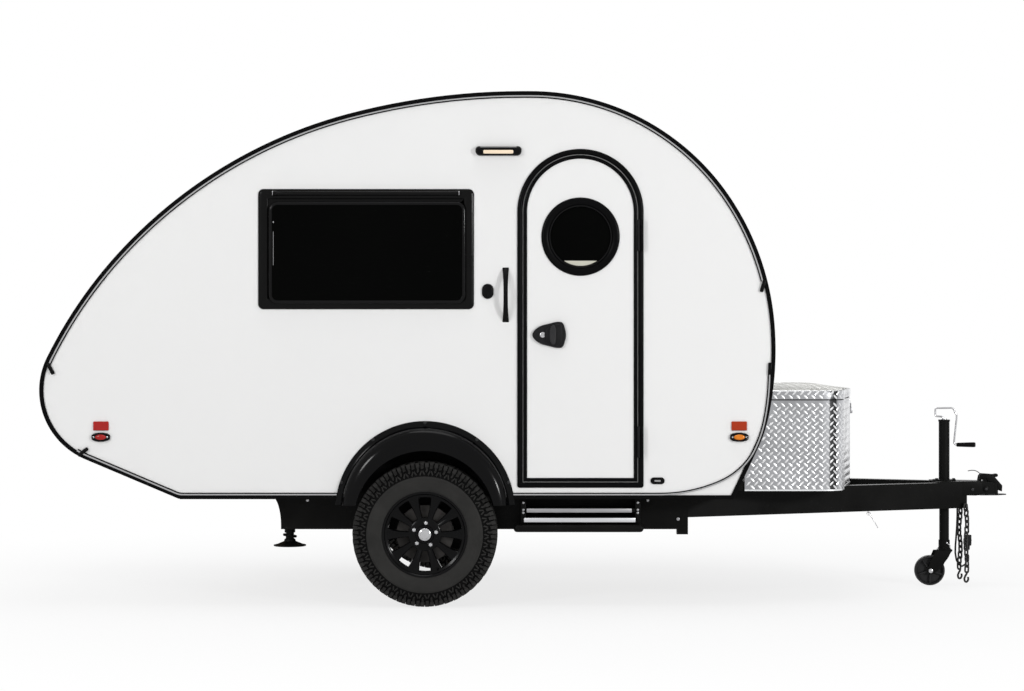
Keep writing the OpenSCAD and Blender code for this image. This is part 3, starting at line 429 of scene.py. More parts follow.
def rodShape(bm, centre, radius, length, axis="Y", tip=None, segments=32, bevel=0.0):
    place = Matrix.Translation(centre) @ turns[axis]
    made = bmesh.ops.create_cone(bm, cap_ends=True, segments=segments, radius1=radius,
                                 radius2=radius if tip is None else tip, depth=length, matrix=place)["verts"]
    if bevel:
        edges = dict.fromkeys(e for v in made for e in v.link_edges)
        rims = [e for e in edges if any(len(f.verts) > 4 for f in e.link_faces)]
        bmesh.ops.bevel(bm, geom=rims, offset=bevel, segments=2, profile=0.5, affect="EDGES", material=-1)
    return made


# a lathe: the profile is [(radius, along)], turned about an axis through the centre
def latheShape(bm, centre, profile, axis="Y", steps=64, closed=False):
    centre = Vector(centre)
    along = {"X": Vector((1, 0, 0)), "Y": Vector((0, -1, 0)), "Z": Vector((0, 0, 1))}[axis]
    out = Vector((0, 0, 1)) if axis != "Z" else Vector((1, 0, 0))
    verts = [bm.verts.new(centre + out * r + along * a) for r, a in profile]
    edges = [bm.edges.new((verts[i], verts[i + 1])) for i in range(len(verts) - 1)]
    if closed:
        edges.append(bm.edges.new((verts[-1], verts[0])))
    bmesh.ops.spin(bm, geom=verts + edges, cent=centre, axis=along, angle=math.tau, steps=steps, use_merge=True)

# a curve through points of two or three dimensions
def routeCurve(points, smooth, closed, flat, thick, sides):
    curve = bpy.data.curves.new("route", "CURVE")
    curve.dimensions = "2D" if flat else "3D"
    curve.bevel_depth = thick
    curve.bevel_resolution = sides
    curve.resolution_u = 8
    spline = curve.splines.new("BEZIER" if smooth else "POLY")
    store = spline.bezier_points if smooth else spline.points
    store.add(len(points) - 1)
    for spot, point in zip(store, points):
        if smooth:
            spot.co = point
            spot.handle_left_type = spot.handle_right_type = "AUTO"
        else:
            spot.co = (*point, 1)
    spline.use_cyclic_u = closed
    return curve


def addCurve(bm, curve, place=None):
    holder = bpy.data.objects.new("route", curve)
    mesh = bpy.data.meshes.new_from_object(holder)
    if place:
        mesh.transform(place)
    bm.from_mesh(mesh)
    bpy.data.objects.remove(holder)
    bpy.data.meshes.remove(mesh)
    bpy.data.curves.remove(curve)


# a round bar along a bezier or straight route
def pipeShape(bm, points, radius, smooth=True, closed=False, sides=3):
    curve = routeCurve(points, smooth, closed, False, radius, sides)
    curve.use_fill_caps = True
    addCurve(bm, curve)


# a flat plate cut to a smooth or sharp outline of (x, z) points, standing out from y towards -Y
def plateShape(bm, points, y, depth, edge=0.002, sharp=False):
    curve = routeCurve([(x, z, 0) for x, z in points], not sharp, True, True, edge, 2)
    curve.fill_mode = "BOTH"
    curve.extrude = depth / 2 - edge
    curve.offset = -edge
    addCurve(bm, curve, Matrix.Translation((0, y - depth / 2, 0)) @ turns["Y"])


# points of a route with its corners rounded by arcs of the given radius
def rounded(points, radius, steps=5):
    points = [Vector(p) for p in points]
    out = [points[0]]
    for before, corner, after in zip(points, points[1:], points[2:]):
        a, b = (before - corner).normalized(), (after - corner).normalized()
        half = a.angle(b) / 2
        reach = min(radius / math.tan(half), (before - corner).length * 0.49, (after - corner).length * 0.49)
        start, end = corner + a * reach, corner + b * reach
        for i in range(steps + 1):
            t = i / steps
            out.append((1 - t) ** 2 * start + 2 * t * (1 - t) * corner + t ** 2 * end)
    return out + [points[-1]]


# bridges successive loops into a tube or, when closed, a ring; open ends are filled
def bridged(bm, loops, close=True, fill=True):
    pairs = list(zip(loops, loops[1:]))
    if close:
        pairs.append((loops[-1], loops[0]))
    for first, second in pairs:
        bmesh.ops.bridge_loops(bm, edges=[e for e in first + second if e.is_valid])
    if fill:
        fillEnds(bm)


def fillEnds(bm):
    rims = [e for e in bm.edges if len(e.link_faces) == 1]
    if rims:
        bmesh.ops.holes_fill(bm, edges=rims, sides=0)


def loopThrough(bm, points):
    verts = [bm.verts.new(p) for p in points]
    return [bm.edges.new(pair) for pair in zip(verts, verts[1:] + verts[:1])]


def cutPlane(bm, point, normal):
    geom = list(bm.verts) + list(bm.edges) + list(bm.faces)
    bmesh.ops.bisect_plane(bm, geom=geom, plane_co=point, plane_no=normal, clear_outer=True)
    fillEnds(bm)


def grow(bm, vert, move):
    made = bmesh.ops.extrude_vert_indiv(bm, verts=[vert])["verts"][0]
    made.co = vert.co + Vector(move)
    return made


# unit vector in the XZ plane
def facing(degrees):
    angle = math.radians(degrees)
    return Vector((math.cos(angle), 0, math.sin(angle)))


# a wire from "vert" round arcs and straights; side is 1 to turn left and -1 to turn right (seen from -Y)
def wireAlong(bm, vert, heading, route, inset, side):
    for radius, amount, steps in route:
        if radius == 0:
            vert = grow(bm, vert, facing(heading) * amount)
            continue
        centre = vert.co + facing(heading + 90 * side) * (radius - inset)
        made = bmesh.ops.spin(bm, geom=[vert], cent=centre, axis=(0, -side, 0), angle=math.radians(amount),
                              steps=steps, use_merge=False)
        vert = made["geom_last"][0]
        heading += amount * side
    return vert, heading


# a closed loop with four rounded corners: radii are for low-left, low-right, high-right, high-left
def cornerLoop(bm, area, radii, inset, y, steps):
    known = set(bm.edges)
    x0, x1, z0, z1 = area[0] + inset, area[1] - inset, area[2] + inset, area[3] - inset
    corners = [(x0, z0, 1, 1, 180), (x1, z0, -1, 1, 270), (x1, z1, -1, -1, 0), (x0, z1, 1, -1, 90)]
    ends = []
    for (x, z, sx, sz, start), radius in zip(corners, radii):
        r = max(0.0008, radius - inset)
        centre = Vector((x + sx * r, y, z + sz * r))
        first = bm.verts.new(centre + facing(start) * r)
        last = bmesh.ops.spin(bm, geom=[first], cent=centre, axis=(0, -1, 0), angle=math.radians(90), steps=steps,
                              use_merge=False)["geom_last"][0]
        ends.append((first, last))
    for i in range(4):
        bm.edges.new((ends[i][1], ends[(i + 1) % 4][0]))
    return [e for e in bm.edges if e not in known]


# a frame or a plate of a rounded outline: section is [(inset, distance out from the wall)], and a plate is capped
def framePiece(bm, area, radii, section, plate=False, steps=8, wall=-halfWidth):
    radii = radii if isinstance(radii, list) else [radii] * 4
    bridged(bm, [cornerLoop(bm, area, radii, inset, wall - out, steps) for inset, out in section], close=not plate)


def around(x, z, halfX, halfZ):
    return (x - halfX, x + halfX, z - halfZ, z + halfZ)


outline = {
    # arcs from the roof's crown: radius, sweep, steps
    "rear": [(3.35, 14.8, 12), (2.332, 33.1, 24), (2.211, 15.8, 12), (0.363, 62.3, 36), (0.373, 31.1, 18)],
    "front": [(1.178, 55.4, 36), (1.297, 29.9, 20), (1.573, 16.4, 12), (0.737, 13.6, 8)],
    "flat": 0.0375,
}


def frontRun():
    run, turned = 0.0, 0.0
    for radius, sweep, _ in outline["front"]:
        upto = min(90.0, turned + sweep)
        run += radius * (math.sin(math.radians(upto)) - math.sin(math.radians(turned)))
        turned = upto
        if turned >= 90:
            break
    return run


crownX = frontX - frontRun()            # front end of the roof's flat crown


# one open wire round the body's side outline, from the front's skirt over the roof to the rear's skirt
def bodyWire(bm, inset, y):
    known = set(bm.edges)
    front = bm.verts.new((crownX, y, roofZ - inset))
    rear = grow(bm, front, (-outline["flat"], 0, 0))
    for vert, heading, arcs, side in ((rear, 180, outline["rear"], 1), (front, 0, outline["front"], -1)):
        last, heading = wireAlong(bm, vert, heading, arcs, inset, side)
        along = facing(heading)
        grow(bm, last, along * ((skirtZ - last.co.z) / along.z))
    return [e for e in bm.edges if e not in known]


def bodyStrip(section):
    bm = bmesh.new()
    bridged(bm, [bodyWire(bm, inset, y) for inset, y in section])
    return bm


panelShape = {
    "skin": 0.0016,        # the skins lie this far under the edge bands, which turn over them
    "wall": 0.03,
    "windowEdge": 0.045,
    "slopeEnd": -0.9,
}


def makePanels():
    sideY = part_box("roof_panel")[1][1]
    skin, wall, edge = panelShape["skin"], panelShape["wall"], panelShape["windowEdge"]
    section = [(skin, -sideY), (skin, sideY), (wall, sideY), (wall, -sideY)]
    for name in ("front_panel", "roof_panel", "rear_panel", "rear_lower_panel"):
        low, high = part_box(name)
        behind, ahead = ((low[0], 0, 0), (-1, 0, 0)), ((high[0], 0, 0), (1, 0, 0))
        cuts = {
            "front_panel": [behind],
            "roof_panel": [behind, ahead],
            "rear_panel": [ahead, ((0, 0, low[2]), (0, 0, -1))],
            "rear_lower_panel": [((0, 0, high[2]), (0, 0, 1)), ((panelShape["slopeEnd"], 0, 0), (1, 0, 0))],
        }
        bm = bodyStrip(section)
        for point, normal in cuts[name]:
            cutPlane(bm, point, normal)
        piece = addPiece(bm, "skin_" + name, "trailer", "white_skin", smooth=30, replaced=(name,))
        if name == "rear_panel":
            windowLow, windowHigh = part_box("rear_window")
            cutter = bmesh.new()
            boxShape(cutter, (windowLow[0] - 0.2, windowLow[1] + edge, windowLow[2] + edge),
                     (windowHigh[0] + 0.4, windowHigh[1] - edge, windowHigh[2] - edge))
            cutOut(piece, cutter)
    print("panels made")


def cutOut(piece, cutterMesh):
    mesh = bpy.data.meshes.new("cutter")
    cutterMesh.to_mesh(mesh)
    cutterMesh.free()
    cutter = bpy.data.objects.new("cutter", mesh)
    bpy.context.collection.objects.link(cutter)
    cut = piece.modifiers.new("cut", "BOOLEAN")
    cut.operation = "DIFFERENCE"
    cut.solver = "EXACT"
    cut.object = cutter
    applied = bpy.data.meshes.new_from_object(piece.evaluated_get(bpy.context.evaluated_depsgraph_get()))
    piece.modifiers.clear()
    piece.data = applied
    bpy.data.objects.remove(cutter)


# black band on the body's edge, with a grey metal rail and a thin black line inside it
edgeBand = {
    "band": 0.0205,
    "rail": 0.0065,
    "line": 0.0055,
    "proud": 0.0065,
    "wrap": 0.026,
    "railEnds": ((rearX + 0.052, 1.183), (frontX - 0.056, 1.594)),
    # caps at the rails' ends: X, Z and lean in degrees
    "caps": ((rearX + 0.056, 1.165, -27), (frontX - 0.062, 1.570, 16), (frontX - 0.028, 1.165, 3),
             (rearX + 0.215, 0.757, 52)),
}

# the lower rail leaves the edge at the front corner and follows a wider curve along the skirt
lowerRail = {
    "from": (frontX - 0.026, 1.150),
    "arcs": [(1.573, 10.0, 8), (0.737, 13.6, 8), (0.36, 40.0, 16), (0.67, 26.4, 12)],
    "overSkirt": 0.0175,
    "rear": [(0.09, 22.9, 6), (0, 0.47, 1), (0.373, 9.0, 4)],
}


def lowerRailWire(bm, inset, y):
    known = set(bm.edges)
    startX, startZ = lowerRail["from"]
    last, _ = wireAlong(bm, bm.verts.new((startX - inset, y, startZ)), 270, lowerRail["arcs"], inset, -1)
    level = skirtZ + lowerRail["overSkirt"] + inset
    drop = level - last.co.z
    for v in {v for e in bm.edges if e not in known for v in e.verts}:
        share = min(1.0, max(0.0, (startZ - v.co.z) / (startZ - last.co.z)))
        if v is not last:
            v.co.z += drop * share
    last.co.z = level
    cornerX = rearX + 0.683 + inset * 0.2
    last = grow(bm, last, (cornerX + 0.02 - last.co.x, 0, 0))
    wireAlong(bm, last, 180, lowerRail["rear"], inset, -1)
    return [e for e in bm.edges if e not in known]


def sideSection(inset, width, proud):
    y = -halfWidth
    return [(inset, y), (inset, y - proud), (inset + width, y - proud), (inset + width, y)]


# the same piece on the right side and, mirrored, on the left
def bothSides(bm, name, finish, smooth=35, replaced=None, stopped=False, wheel=False):
    left = mirrored(bm)
    for side, half in (("right", bm), ("left", left)):
        nodes = (replaced + "_" + side,) if replaced else ()
        piece = addPiece(half, name + "_" + side, "wheel_" + side if wheel else "trailer", finish, smooth, nodes)
        if stopped:
            cutOut(piece, archCutter())


def makeEdges():
    e = edgeBand
    y = -halfWidth
    # the band turns over the edge onto the roof
    rear = [(-0.0004, y + e["wrap"]), (-0.0004, y - e["proud"] * 0.7), (0.002, y - e["proud"]),
            (e["band"], y - e["proud"]), (e["band"], y), (panelShape["skin"], y), (panelShape["skin"], y + e["wrap"])]
    bothSides(bodyStrip(rear), "edge_band", "trim_black", replaced="edge_trim", stopped=True)
    # upper rail, from the rear cap to the front cap
    ends = edgeBand["railEnds"]
    slope = Vector((ends[1][0] - ends[0][0], 0, ends[1][1] - ends[0][1]))
    below = Vector((slope.z, 0, -slope.x)).normalized()
    for name, finish, inset, width, proud in (
            ("awning_rail", "rail_grey", e["band"], e["rail"], 0.009),
            ("rail_line", "trim_black", e["band"] + e["rail"], e["line"], 0.006)):
        bm = bodyStrip(sideSection(inset, width, proud))
        cutPlane(bm, (ends[0][0], 0, ends[0][1]), below)
        bothSides(bm, name, finish)
        bm = bmesh.new()
        start = 0.0 if name == "awning_rail" else e["rail"]
        bridged(bm, [lowerRailWire(bm, i, yy) for i, yy in sideSection(start, width, proud)])
        bothSides(bm, "lower_" + name, finish, stopped=True)
    # the skirt's own black strip, below the lower rail
    bm = bmesh.new()
    boxShape(bm, (rearX + 0.69, y - 0.006, skirtZ - 0.002), (frontX - 0.206, y, skirtZ + lowerRail["overSkirt"]))
    bothSides(bm, "skirt_strip", "trim_black", stopped=True)
    bm = bmesh.new()
    for x, z, lean in e["caps"]:
        boxShape(bm, (x - 0.009, y - 0.014, z - 0.03), (x + 0.009, y, z + 0.03), 0.004)
        live = [v for v in bm.verts if (v.co - Vector((x, y, z))).length < 0.05]
        bmesh.ops.rotate(bm, verts=live, cent=(x, y, z), matrix=Matrix.Rotation(math.radians(lean), 3, "Y"))
    bothSides(bm, "rail_caps", "fitting_black")
    print("edges made")

doorShape = {"width": 0.617, "height": 1.658, "corner": 0.012, "hole": 0.166}


# a piece that follows the door's outline
def doorPiece(name, body, finish, section, smooth=35, replaced=(), plate=False, steps=24):
    half, corner, foot = doorShape["width"] / 2, doorShape["corner"], doorLow[2]
    bm = bmesh.new()
    framePiece(bm, (doorMiddle - half, doorMiddle + half, foot, foot + doorShape["height"]),
               [corner, corner, half, half], section, plate, steps)
    return addPiece(bm, name, body, finish, smooth, replaced)


def makeDoor():
    doorPiece("door_frame_moulding", "trailer", "trim_black",
              [(-0.001, 0), (-0.001, 0.005), (0.003, 0.0095), (0.012, 0.0115), (0.021, 0.0095), (0.0245, 0.004),
               (0.0245, 0)], smooth=60)
    doorPiece("door_leaf_trim", "entry_door", "trim_black",
              [(0.030, 0.002), (0.030, 0.009), (0.033, 0.0115), (0.041, 0.0125), (0.047, 0.0105), (0.048, 0.002)],
              smooth=60)
    # a grey ring in the groove between them: painted highlight of the groove
    doorPiece("door_groove_highlight", "entry_door", "painted_light_grey",
              [(0.0262, -0.012), (0.0262, 0.004), (0.0285, 0.004), (0.0285, -0.012)])
    makeDoorPane()
    makeDoorLatch()
    print("door made")


def makeDoorPane():
    centre = Vector(((paneLow[0] + paneHigh[0]) / 2, 0, (paneLow[2] + paneHigh[2]) / 2))
    face = -paneLow[1]
    back = face - 0.008
    outer = (paneHigh[2] - paneLow[2]) / 2
    glass = outer - 0.045
    rings = (
        ("ring", "trim_black", ("door_pane",), True,
         [(outer, back), (outer, face - 0.004), (outer - 0.006, face), (outer - 0.016, face + 0.002),
          (outer - 0.03, face - 0.001), (outer - 0.037, face - 0.005), (outer - 0.038, back)]),
        ("bead", "acrylic_rim", (), True,
         [(outer - 0.0375, back), (outer - 0.0385, face - 0.002), (outer - 0.044, face - 0.001),
          (outer - 0.047, face - 0.005), (outer - 0.047, back)]),
        ("glass", "dark_acrylic", (), False,
         [(0.0, face - 0.0035), (glass * 0.5, face - 0.004), (glass * 0.9, face - 0.006), (glass, face - 0.009),
          (glass, face - 0.014), (0.0, face - 0.012)]))
    for name, finish, replaced, closed, profile in rings:
        bm = bmesh.new()
        latheShape(bm, centre, profile, steps=96, closed=closed)
        addPiece(bm, "door_pane_" + name, "entry_door", finish, smooth=60, replaced=replaced)
    # pale segment in the foot of the pane: painted light seen through the gap under the blind
    bm = bmesh.new()
    r, top = glass - 0.004, -0.118
    reach = math.acos(-top / r)
    arc = [(centre.x + r * math.sin(reach * k / 8), centre.z - r * math.cos(reach * k / 8)) for k in range(-8, 9)]
    plateShape(bm, arc, -face + 0.009, 0.0035, 0.0005, sharp=True)
    addPiece(bm, "blind_gap_light", "entry_door", "painted_light_cream")


latchShape = {
    # half of the shield's outline, from its round left end to its bulging right side
    "shield": ((-0.0825, 0), (-0.075, 0.018), (-0.059, 0.033), (-0.038, 0.045), (-0.004, 0.054), (0.050, 0.064),
               (0.064, 0.060), (0.077, 0.032), (0.0825, 0)),
    "paddle": ((0.002, 0), (0.006, 0.034), (0.014, 0.046), (0.024, 0.047), (0.031, 0.034), (0.033, 0)),
    "lock": (-0.032, 0.0135),
}


def wholeOutline(half, x, z):
    upper = [(x + u, z + w) for u, w in half]
    return upper + [(x + u, z - w) for u, w in reversed(half[1:-1])]


# a moulded shield with a lock at its round end and a tall paddle in its wide part
def makeDoorLatch():
    low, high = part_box("door_latch")
    y = high[1]
    x, z = (low[0] + high[0]) / 2, (low[2] + high[2]) / 2
    bm = bmesh.new()
    plateShape(bm, wholeOutline(latchShape["shield"], x, z), y, 0.016, 0.004)
    addPiece(bm, "latch_plate", "entry_door", "latch_black", smooth=50, replaced=("door_latch",))
    bm = bmesh.new()
    tray = [(u * 0.55 + 0.021, w * 0.82) for u, w in latchShape["shield"]]
    plateShape(bm, wholeOutline(tray, x, z), y - 0.014, 0.010, 0.004)
    boxShape(bm, (x - 0.017, y - 0.026, z - 0.030), (x - 0.011, y - 0.014, z + 0.030), 0.002)
    addPiece(bm, "latch_tray", "entry_door", "latch_black", smooth=50)
    bm = bmesh.new()
    plateShape(bm, wholeOutline(latchShape["paddle"], x, z), y - 0.022, 0.0115, 0.004)
    addPiece(bm, "latch_paddle", "entry_door", "paddle_grey", smooth=50)
    bm = bmesh.new()
    spot = Vector((x + latchShape["lock"][0], y - 0.017, z))
    radius = latchShape["lock"][1]
    latheShape(bm, spot, [(0, 0.0), (radius, 0.0), (radius, 0.003), (radius - 0.003, 0.0048), (0.006, 0.0046),
                          (0.005, 0.0036), (0, 0.0036)], steps=40)
    addPiece(bm, "latch_lock", "entry_door", "bright_metal", smooth=40)


windowShape = {"corner": 0.026, "paneCorner": 0.045, "bar": 0.9}


def makeSideWindow(side):
    low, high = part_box("side_window_right")
    y = -halfWidth
    area = (low[0], high[0], low[2], high[2])
    bm = bmesh.new()
    framePiece(bm, area, windowShape["corner"],
               [(0, 0), (0, 0.0045), (0.003, 0.007), (0.010, 0.0105), (0.018, 0.012), (0.034, 0.0115),
                (0.046, 0.010), (0.05, 0.006), (0.05, 0)])
    framePiece(bm, area, windowShape["corner"], [(0.046, 0.001), (0.046, 0.004), (0.08, 0.004), (0.08, 0.001)])
    parts = [(bm, "window_frame_", "window_trim", 50)]
    # hinged pane: a black border round dark acrylic, slightly bowed
    pane = (low[0] + 0.052, high[0] - 0.040, low[2] + 0.026, high[2] - 0.062)
    for name, finish, section in (
            ("pane_border_", "acrylic_rim",
             [(0.002, 0.008), (0, 0.018), (0.004, 0.024), (0.013, 0.026), (0.0165, 0.0245), (0.0165, 0.012)]),
            ("pane_glass_", "dark_acrylic", [(0.015, 0.012), (0.015, 0.0235), (0.024, 0.0245), (0.06, 0.0252)])):
        bm = bmesh.new()
        framePiece(bm, pane, windowShape["paneCorner"], section, plate=name == "pane_glass_")
        parts.append((bm, name, finish, 50))
    # hinge bar along the top, with its end caps
    bm = bmesh.new()
    barZ = high[2] - 0.022
    rodShape(bm, ((low[0] + high[0]) / 2, y - 0.016, barZ), 0.011, windowShape["bar"], "X", segments=20, bevel=0.002)
    boxShape(bm, (low[0] + 0.078, y - 0.013, barZ - 0.022), (high[0] - 0.078, y - 0.006, barZ + 0.004), 0.002)
    for x in (low[0] + 0.082, high[0] - 0.082):
        rodShape(bm, (x, y - 0.016, barZ), 0.013, 0.02, axis="X", segments=20, bevel=0.003)
    parts.append((bm, "window_hinge_", "window_trim", 40))
    # bright rings at the ends of the hinge bar, and the stay at the pane's rear edge
    bm = bmesh.new()
    for x in (low[0] + 0.0725, high[0] - 0.0725):
        rodShape(bm, (x, y - 0.016, barZ), 0.0128, 0.0022, axis="X", segments=24)
    boxShape(bm, (low[0] + 0.0755, y - 0.0262, low[2] + 0.215), (low[0] + 0.077, y - 0.0245, low[2] + 0.380))
    boxShape(bm, (low[0] + 0.0745, y - 0.0262, low[2] + 0.422), (low[0] + 0.0785, y - 0.0245, low[2] + 0.430))
    parts.append((bm, "window_bright_", "bright_metal", 40))
    for bm, name, finish, smooth in parts:
        if side == "left":
            other = mirrored(bm)
            bm.free()
            bm = other
        replaced = ("side_window_" + side,) if name == "window_frame_" else ()
        addPiece(bm, name + side, "trailer", finish, smooth, replaced)


def makeRearWindow():
    low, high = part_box("rear_window")
    for name, finish, wider, out, depth in (("frame", "trim_black", 0.0, 0.010, 0.012),
                                            ("border", "acrylic_rim", -0.045, 0.0135, 0.01),
                                            ("glass", "dark_acrylic", -0.066, 0.0138, 0.01)):
        half = high[1] + wider
        bm = bodyStrip([(-out, -half), (-out, half), (depth, half), (depth, -half)])
        cutPlane(bm, (0, 0, low[2] - wider), (0, 0, -1))
        cutPlane(bm, (0, 0, high[2] + wider), (0, 0, 1))
        cutPlane(bm, (-1.0, 0, 0), (1, 0, 0))
        replaced = ("rear_window",) if name == "frame" else ()
        addPiece(bm, "rear_window_" + name, "trailer", finish, 30, replaced, bevel=0.003)


guard = {
    # radius and height of three circles: on the wall, at the fold, and at the outer lip
    "flange": (0.441, 0.468),
    "fold": (0.414, 0.468),
    "lip": (0.343, 0.420),
    # circle, change of radius, change of height, distance out from the wall
    "section": (
        ("flange", -0.001, 0, -0.0005), ("flange", 0, 0, 0.004), ("flange", -0.003, 0, 0.007),
        ("fold", 0.006, 0, 0.008), ("fold", 0.001, 0, 0.010), ("fold", -0.001, -0.001, 0.016),
        ("fold", -0.004, -0.003, 0.033), ("fold", -0.010, -0.006, 0.051), ("fold", -0.020, -0.013, 0.064),
        ("fold", -0.033, -0.022, 0.0725), ("lip", 0.026, 0.009, 0.0775), ("lip", 0.012, 0.003, 0.0795),
        ("lip", 0.003, 0, 0.0785), ("lip", 0, 0, 0.075), ("lip", 0.001, 0, 0.068), ("lip", 0.02, 0.006, 0.068),
        ("fold", -0.034, -0.018, 0.064), ("fold", -0.014, -0.002, 0.03), ("fold", -0.010, 0, -0.0005)),
    "endZ": 0.499,
    "bolts": (0, 36, -36, 71, -71),
    "boltCircle": 0.4325,
}


def archWire(bm, radius, z, y):
    known = set(bm.edges)
    half = math.acos((guard["endZ"] - z) / radius)
    start = bm.verts.new((hubX - radius * math.sin(half), y, z + radius * math.cos(half)))
    bmesh.ops.spin(bm, geom=[start], cent=(hubX, y, z), axis=(0, 1, 0), angle=2 * half, steps=48, use_merge=False)
    return [e for e in bm.edges if e not in known]


def archCutter():
    bm = bmesh.new()
    radius, z = guard["flange"]
    rodShape(bm, (hubX, 0, z), radius - 0.0005, 3.0, segments=128)
    return bm


def makeMudguards():
    y = -halfWidth
    bm = bmesh.new()
    bridged(bm, [archWire(bm, guard[circle][0] + wider, guard[circle][1] + higher, y - out)
                 for circle, wider, higher, out in guard["section"]])
    bothSides(bm, "guard", "guard_gloss", smooth=40, replaced="mudguard")
    bm = bmesh.new()
    for turn in guard["bolts"]:
        spot = Vector((hubX, y - 0.009, guard["flange"][1])) + facing(90 + turn) * guard["boltCircle"]
        rodShape(bm, spot, 0.008, 0.008, segments=20, bevel=0.002)
        rodShape(bm, spot + Vector((0, -0.004, 0)), 0.0035, 0.004, segments=6)
    bothSides(bm, "guard_bolts", "paddle_grey")
    print("mudguards made")


treadEdge = tyreWidth / 2
treadShape = {
    "pitches": 46,
    "depth": 0.010,
    # blocks of one pitch: corners as (turn in pitches, along), how far the foot and the top lie under the tread
    "blocks": (
        (((0.06, 0.004), (0.62, 0.004), (0.78, 0.030), (0.40, 0.034), (0.16, 0.022)), 0, 0),
        (((0.22, 0.038), (0.92, 0.035), (1.02, 0.062), (0.64, 0.066), (0.32, 0.058)), 0, 0.0006),
        (((0.02, 0.071), (0.40, 0.069), (0.44, treadEdge - 0.016), (0.04, treadEdge - 0.018)), 0.012, 0.004),
        (((0.52, 0.069), (0.90, 0.071), (0.92, treadEdge - 0.026), (0.54, treadEdge - 0.026)), 0.008, 0.0025)),
    # lugs on the sidewall: corners as (turn in pitches, radius), and how far they rise; a hooked and a short lug
    # run down from the tread, and the other two make the zigzag below them
    "lugs": (
        (((0.05, 0.342), (0.40, 0.342), (0.38, 0.328), (0.34, 0.311), (0.20, 0.303), (0.08, 0.309), (0.16, 0.318),
          (0.07, 0.331)), 0.0080),
        (((0.52, 0.341), (0.90, 0.341), (0.88, 0.324), (0.56, 0.321)), 0.0090),
        (((0.36, 0.295), (0.60, 0.315), (0.69, 0.309), (0.46, 0.2875)), 0.0060),
        (((0.71, 0.308), (0.94, 0.2895), (1.04, 0.2965), (0.80, 0.315)), 0.0052)),
    # moulded rings of the sidewall: radius and rise
    "rings": ((0.206, 0.0), (0.214, 0.0012), (0.2225, 0.002), (0.2255, 0.0008), (0.24, 0.0012), (0.262, 0.0014),
              (0.270, 0.0013), (0.2755, 0.0022), (0.2785, 0.0010), (0.2815, 0.0012), (0.2845, 0.0020)),
}


# tyre section from the inner bead over the tread to the outer bead: radius, along (outwards)
def tyreProfile():
    w, r = tyreWidth / 2, tyreRadius - treadShape["depth"]
    side = [(0.199, 0.088), (0.206, 0.094), (0.213, 0.0985), (0.222, w - 0.0125), (0.232, w - 0.0085),
            (0.246, w - 0.006), (0.262, w - 0.0048), (0.278, w - 0.0045), (0.283, w - 0.0058), (0.286, w - 0.010),
            (0.306, w - 0.0145), (0.325, w - 0.0185), (0.336, w - 0.026), (0.342, w - 0.036), (r, w - 0.048),
            (r + 0.0005, w - 0.07), (r + 0.001, 0.0)]
    return side + [(a, -b) for a, b in reversed(side[:-1])]


def ringPoint(radius, turn, along):
    return Vector((hubX + radius * math.sin(turn), tyreY - along, hubZ + radius * math.cos(turn)))

# a face through points, extruded; its raised corners and their middle
def raisedFace(bm, points):
    face = bm.faces.new([bm.verts.new(p) for p in points])
    made = bmesh.ops.extrude_face_region(bm, geom=[face])["geom"]
    verts = [v for v in made if isinstance(v, bmesh.types.BMVert)]
    return verts, sum((v.co for v in verts), Vector()) / len(verts)


# one tread block, raised from the foot to the top radius
def treadBlock(bm, corners, foot, top, pitch):
    verts, middle = raisedFace(bm, [ringPoint(foot, t * pitch, a) for t, a in corners])
    for v in verts:
        up = Vector((v.co.x - hubX, 0, v.co.z - hubZ)).normalized() * (top - foot)
        v.co += up
        v.co = v.co.lerp(middle + up, 0.05)


# a lug on the sidewall of side s, with its foot sunk a little
def sidewallLug(bm, corners, s, rise, pitch):
    sunk = 0.003
    verts, middle = raisedFace(bm, [ringPoint(r, t * pitch, s * sidewallAlong(r) - sunk) for t, r in corners])
    for v in verts:
        v.co.y -= s * (rise + sunk)
        v.co = v.co.lerp(Vector((middle.x, v.co.y, middle.z)), 0.08)


def sidewallAlong(radius):
    points = tyreProfile()[:15]
    for (r0, a0), (r1, a1) in zip(points, points[1:]):
        if r0 <= radius <= r1:
            return a0 + (a1 - a0) * (radius - r0) / (r1 - r0)
    return points[-1][1]

def spunRound(bm, centre, count):
    geom = list(bm.verts) + list(bm.edges) + list(bm.faces)
    bmesh.ops.spin(bm, geom=geom, cent=centre, axis=(0, 1, 0), angle=math.tau, steps=count, use_duplicate=True,
                   use_merge=False)
    bmesh.ops.recalc_face_normals(bm, faces=bm.faces)


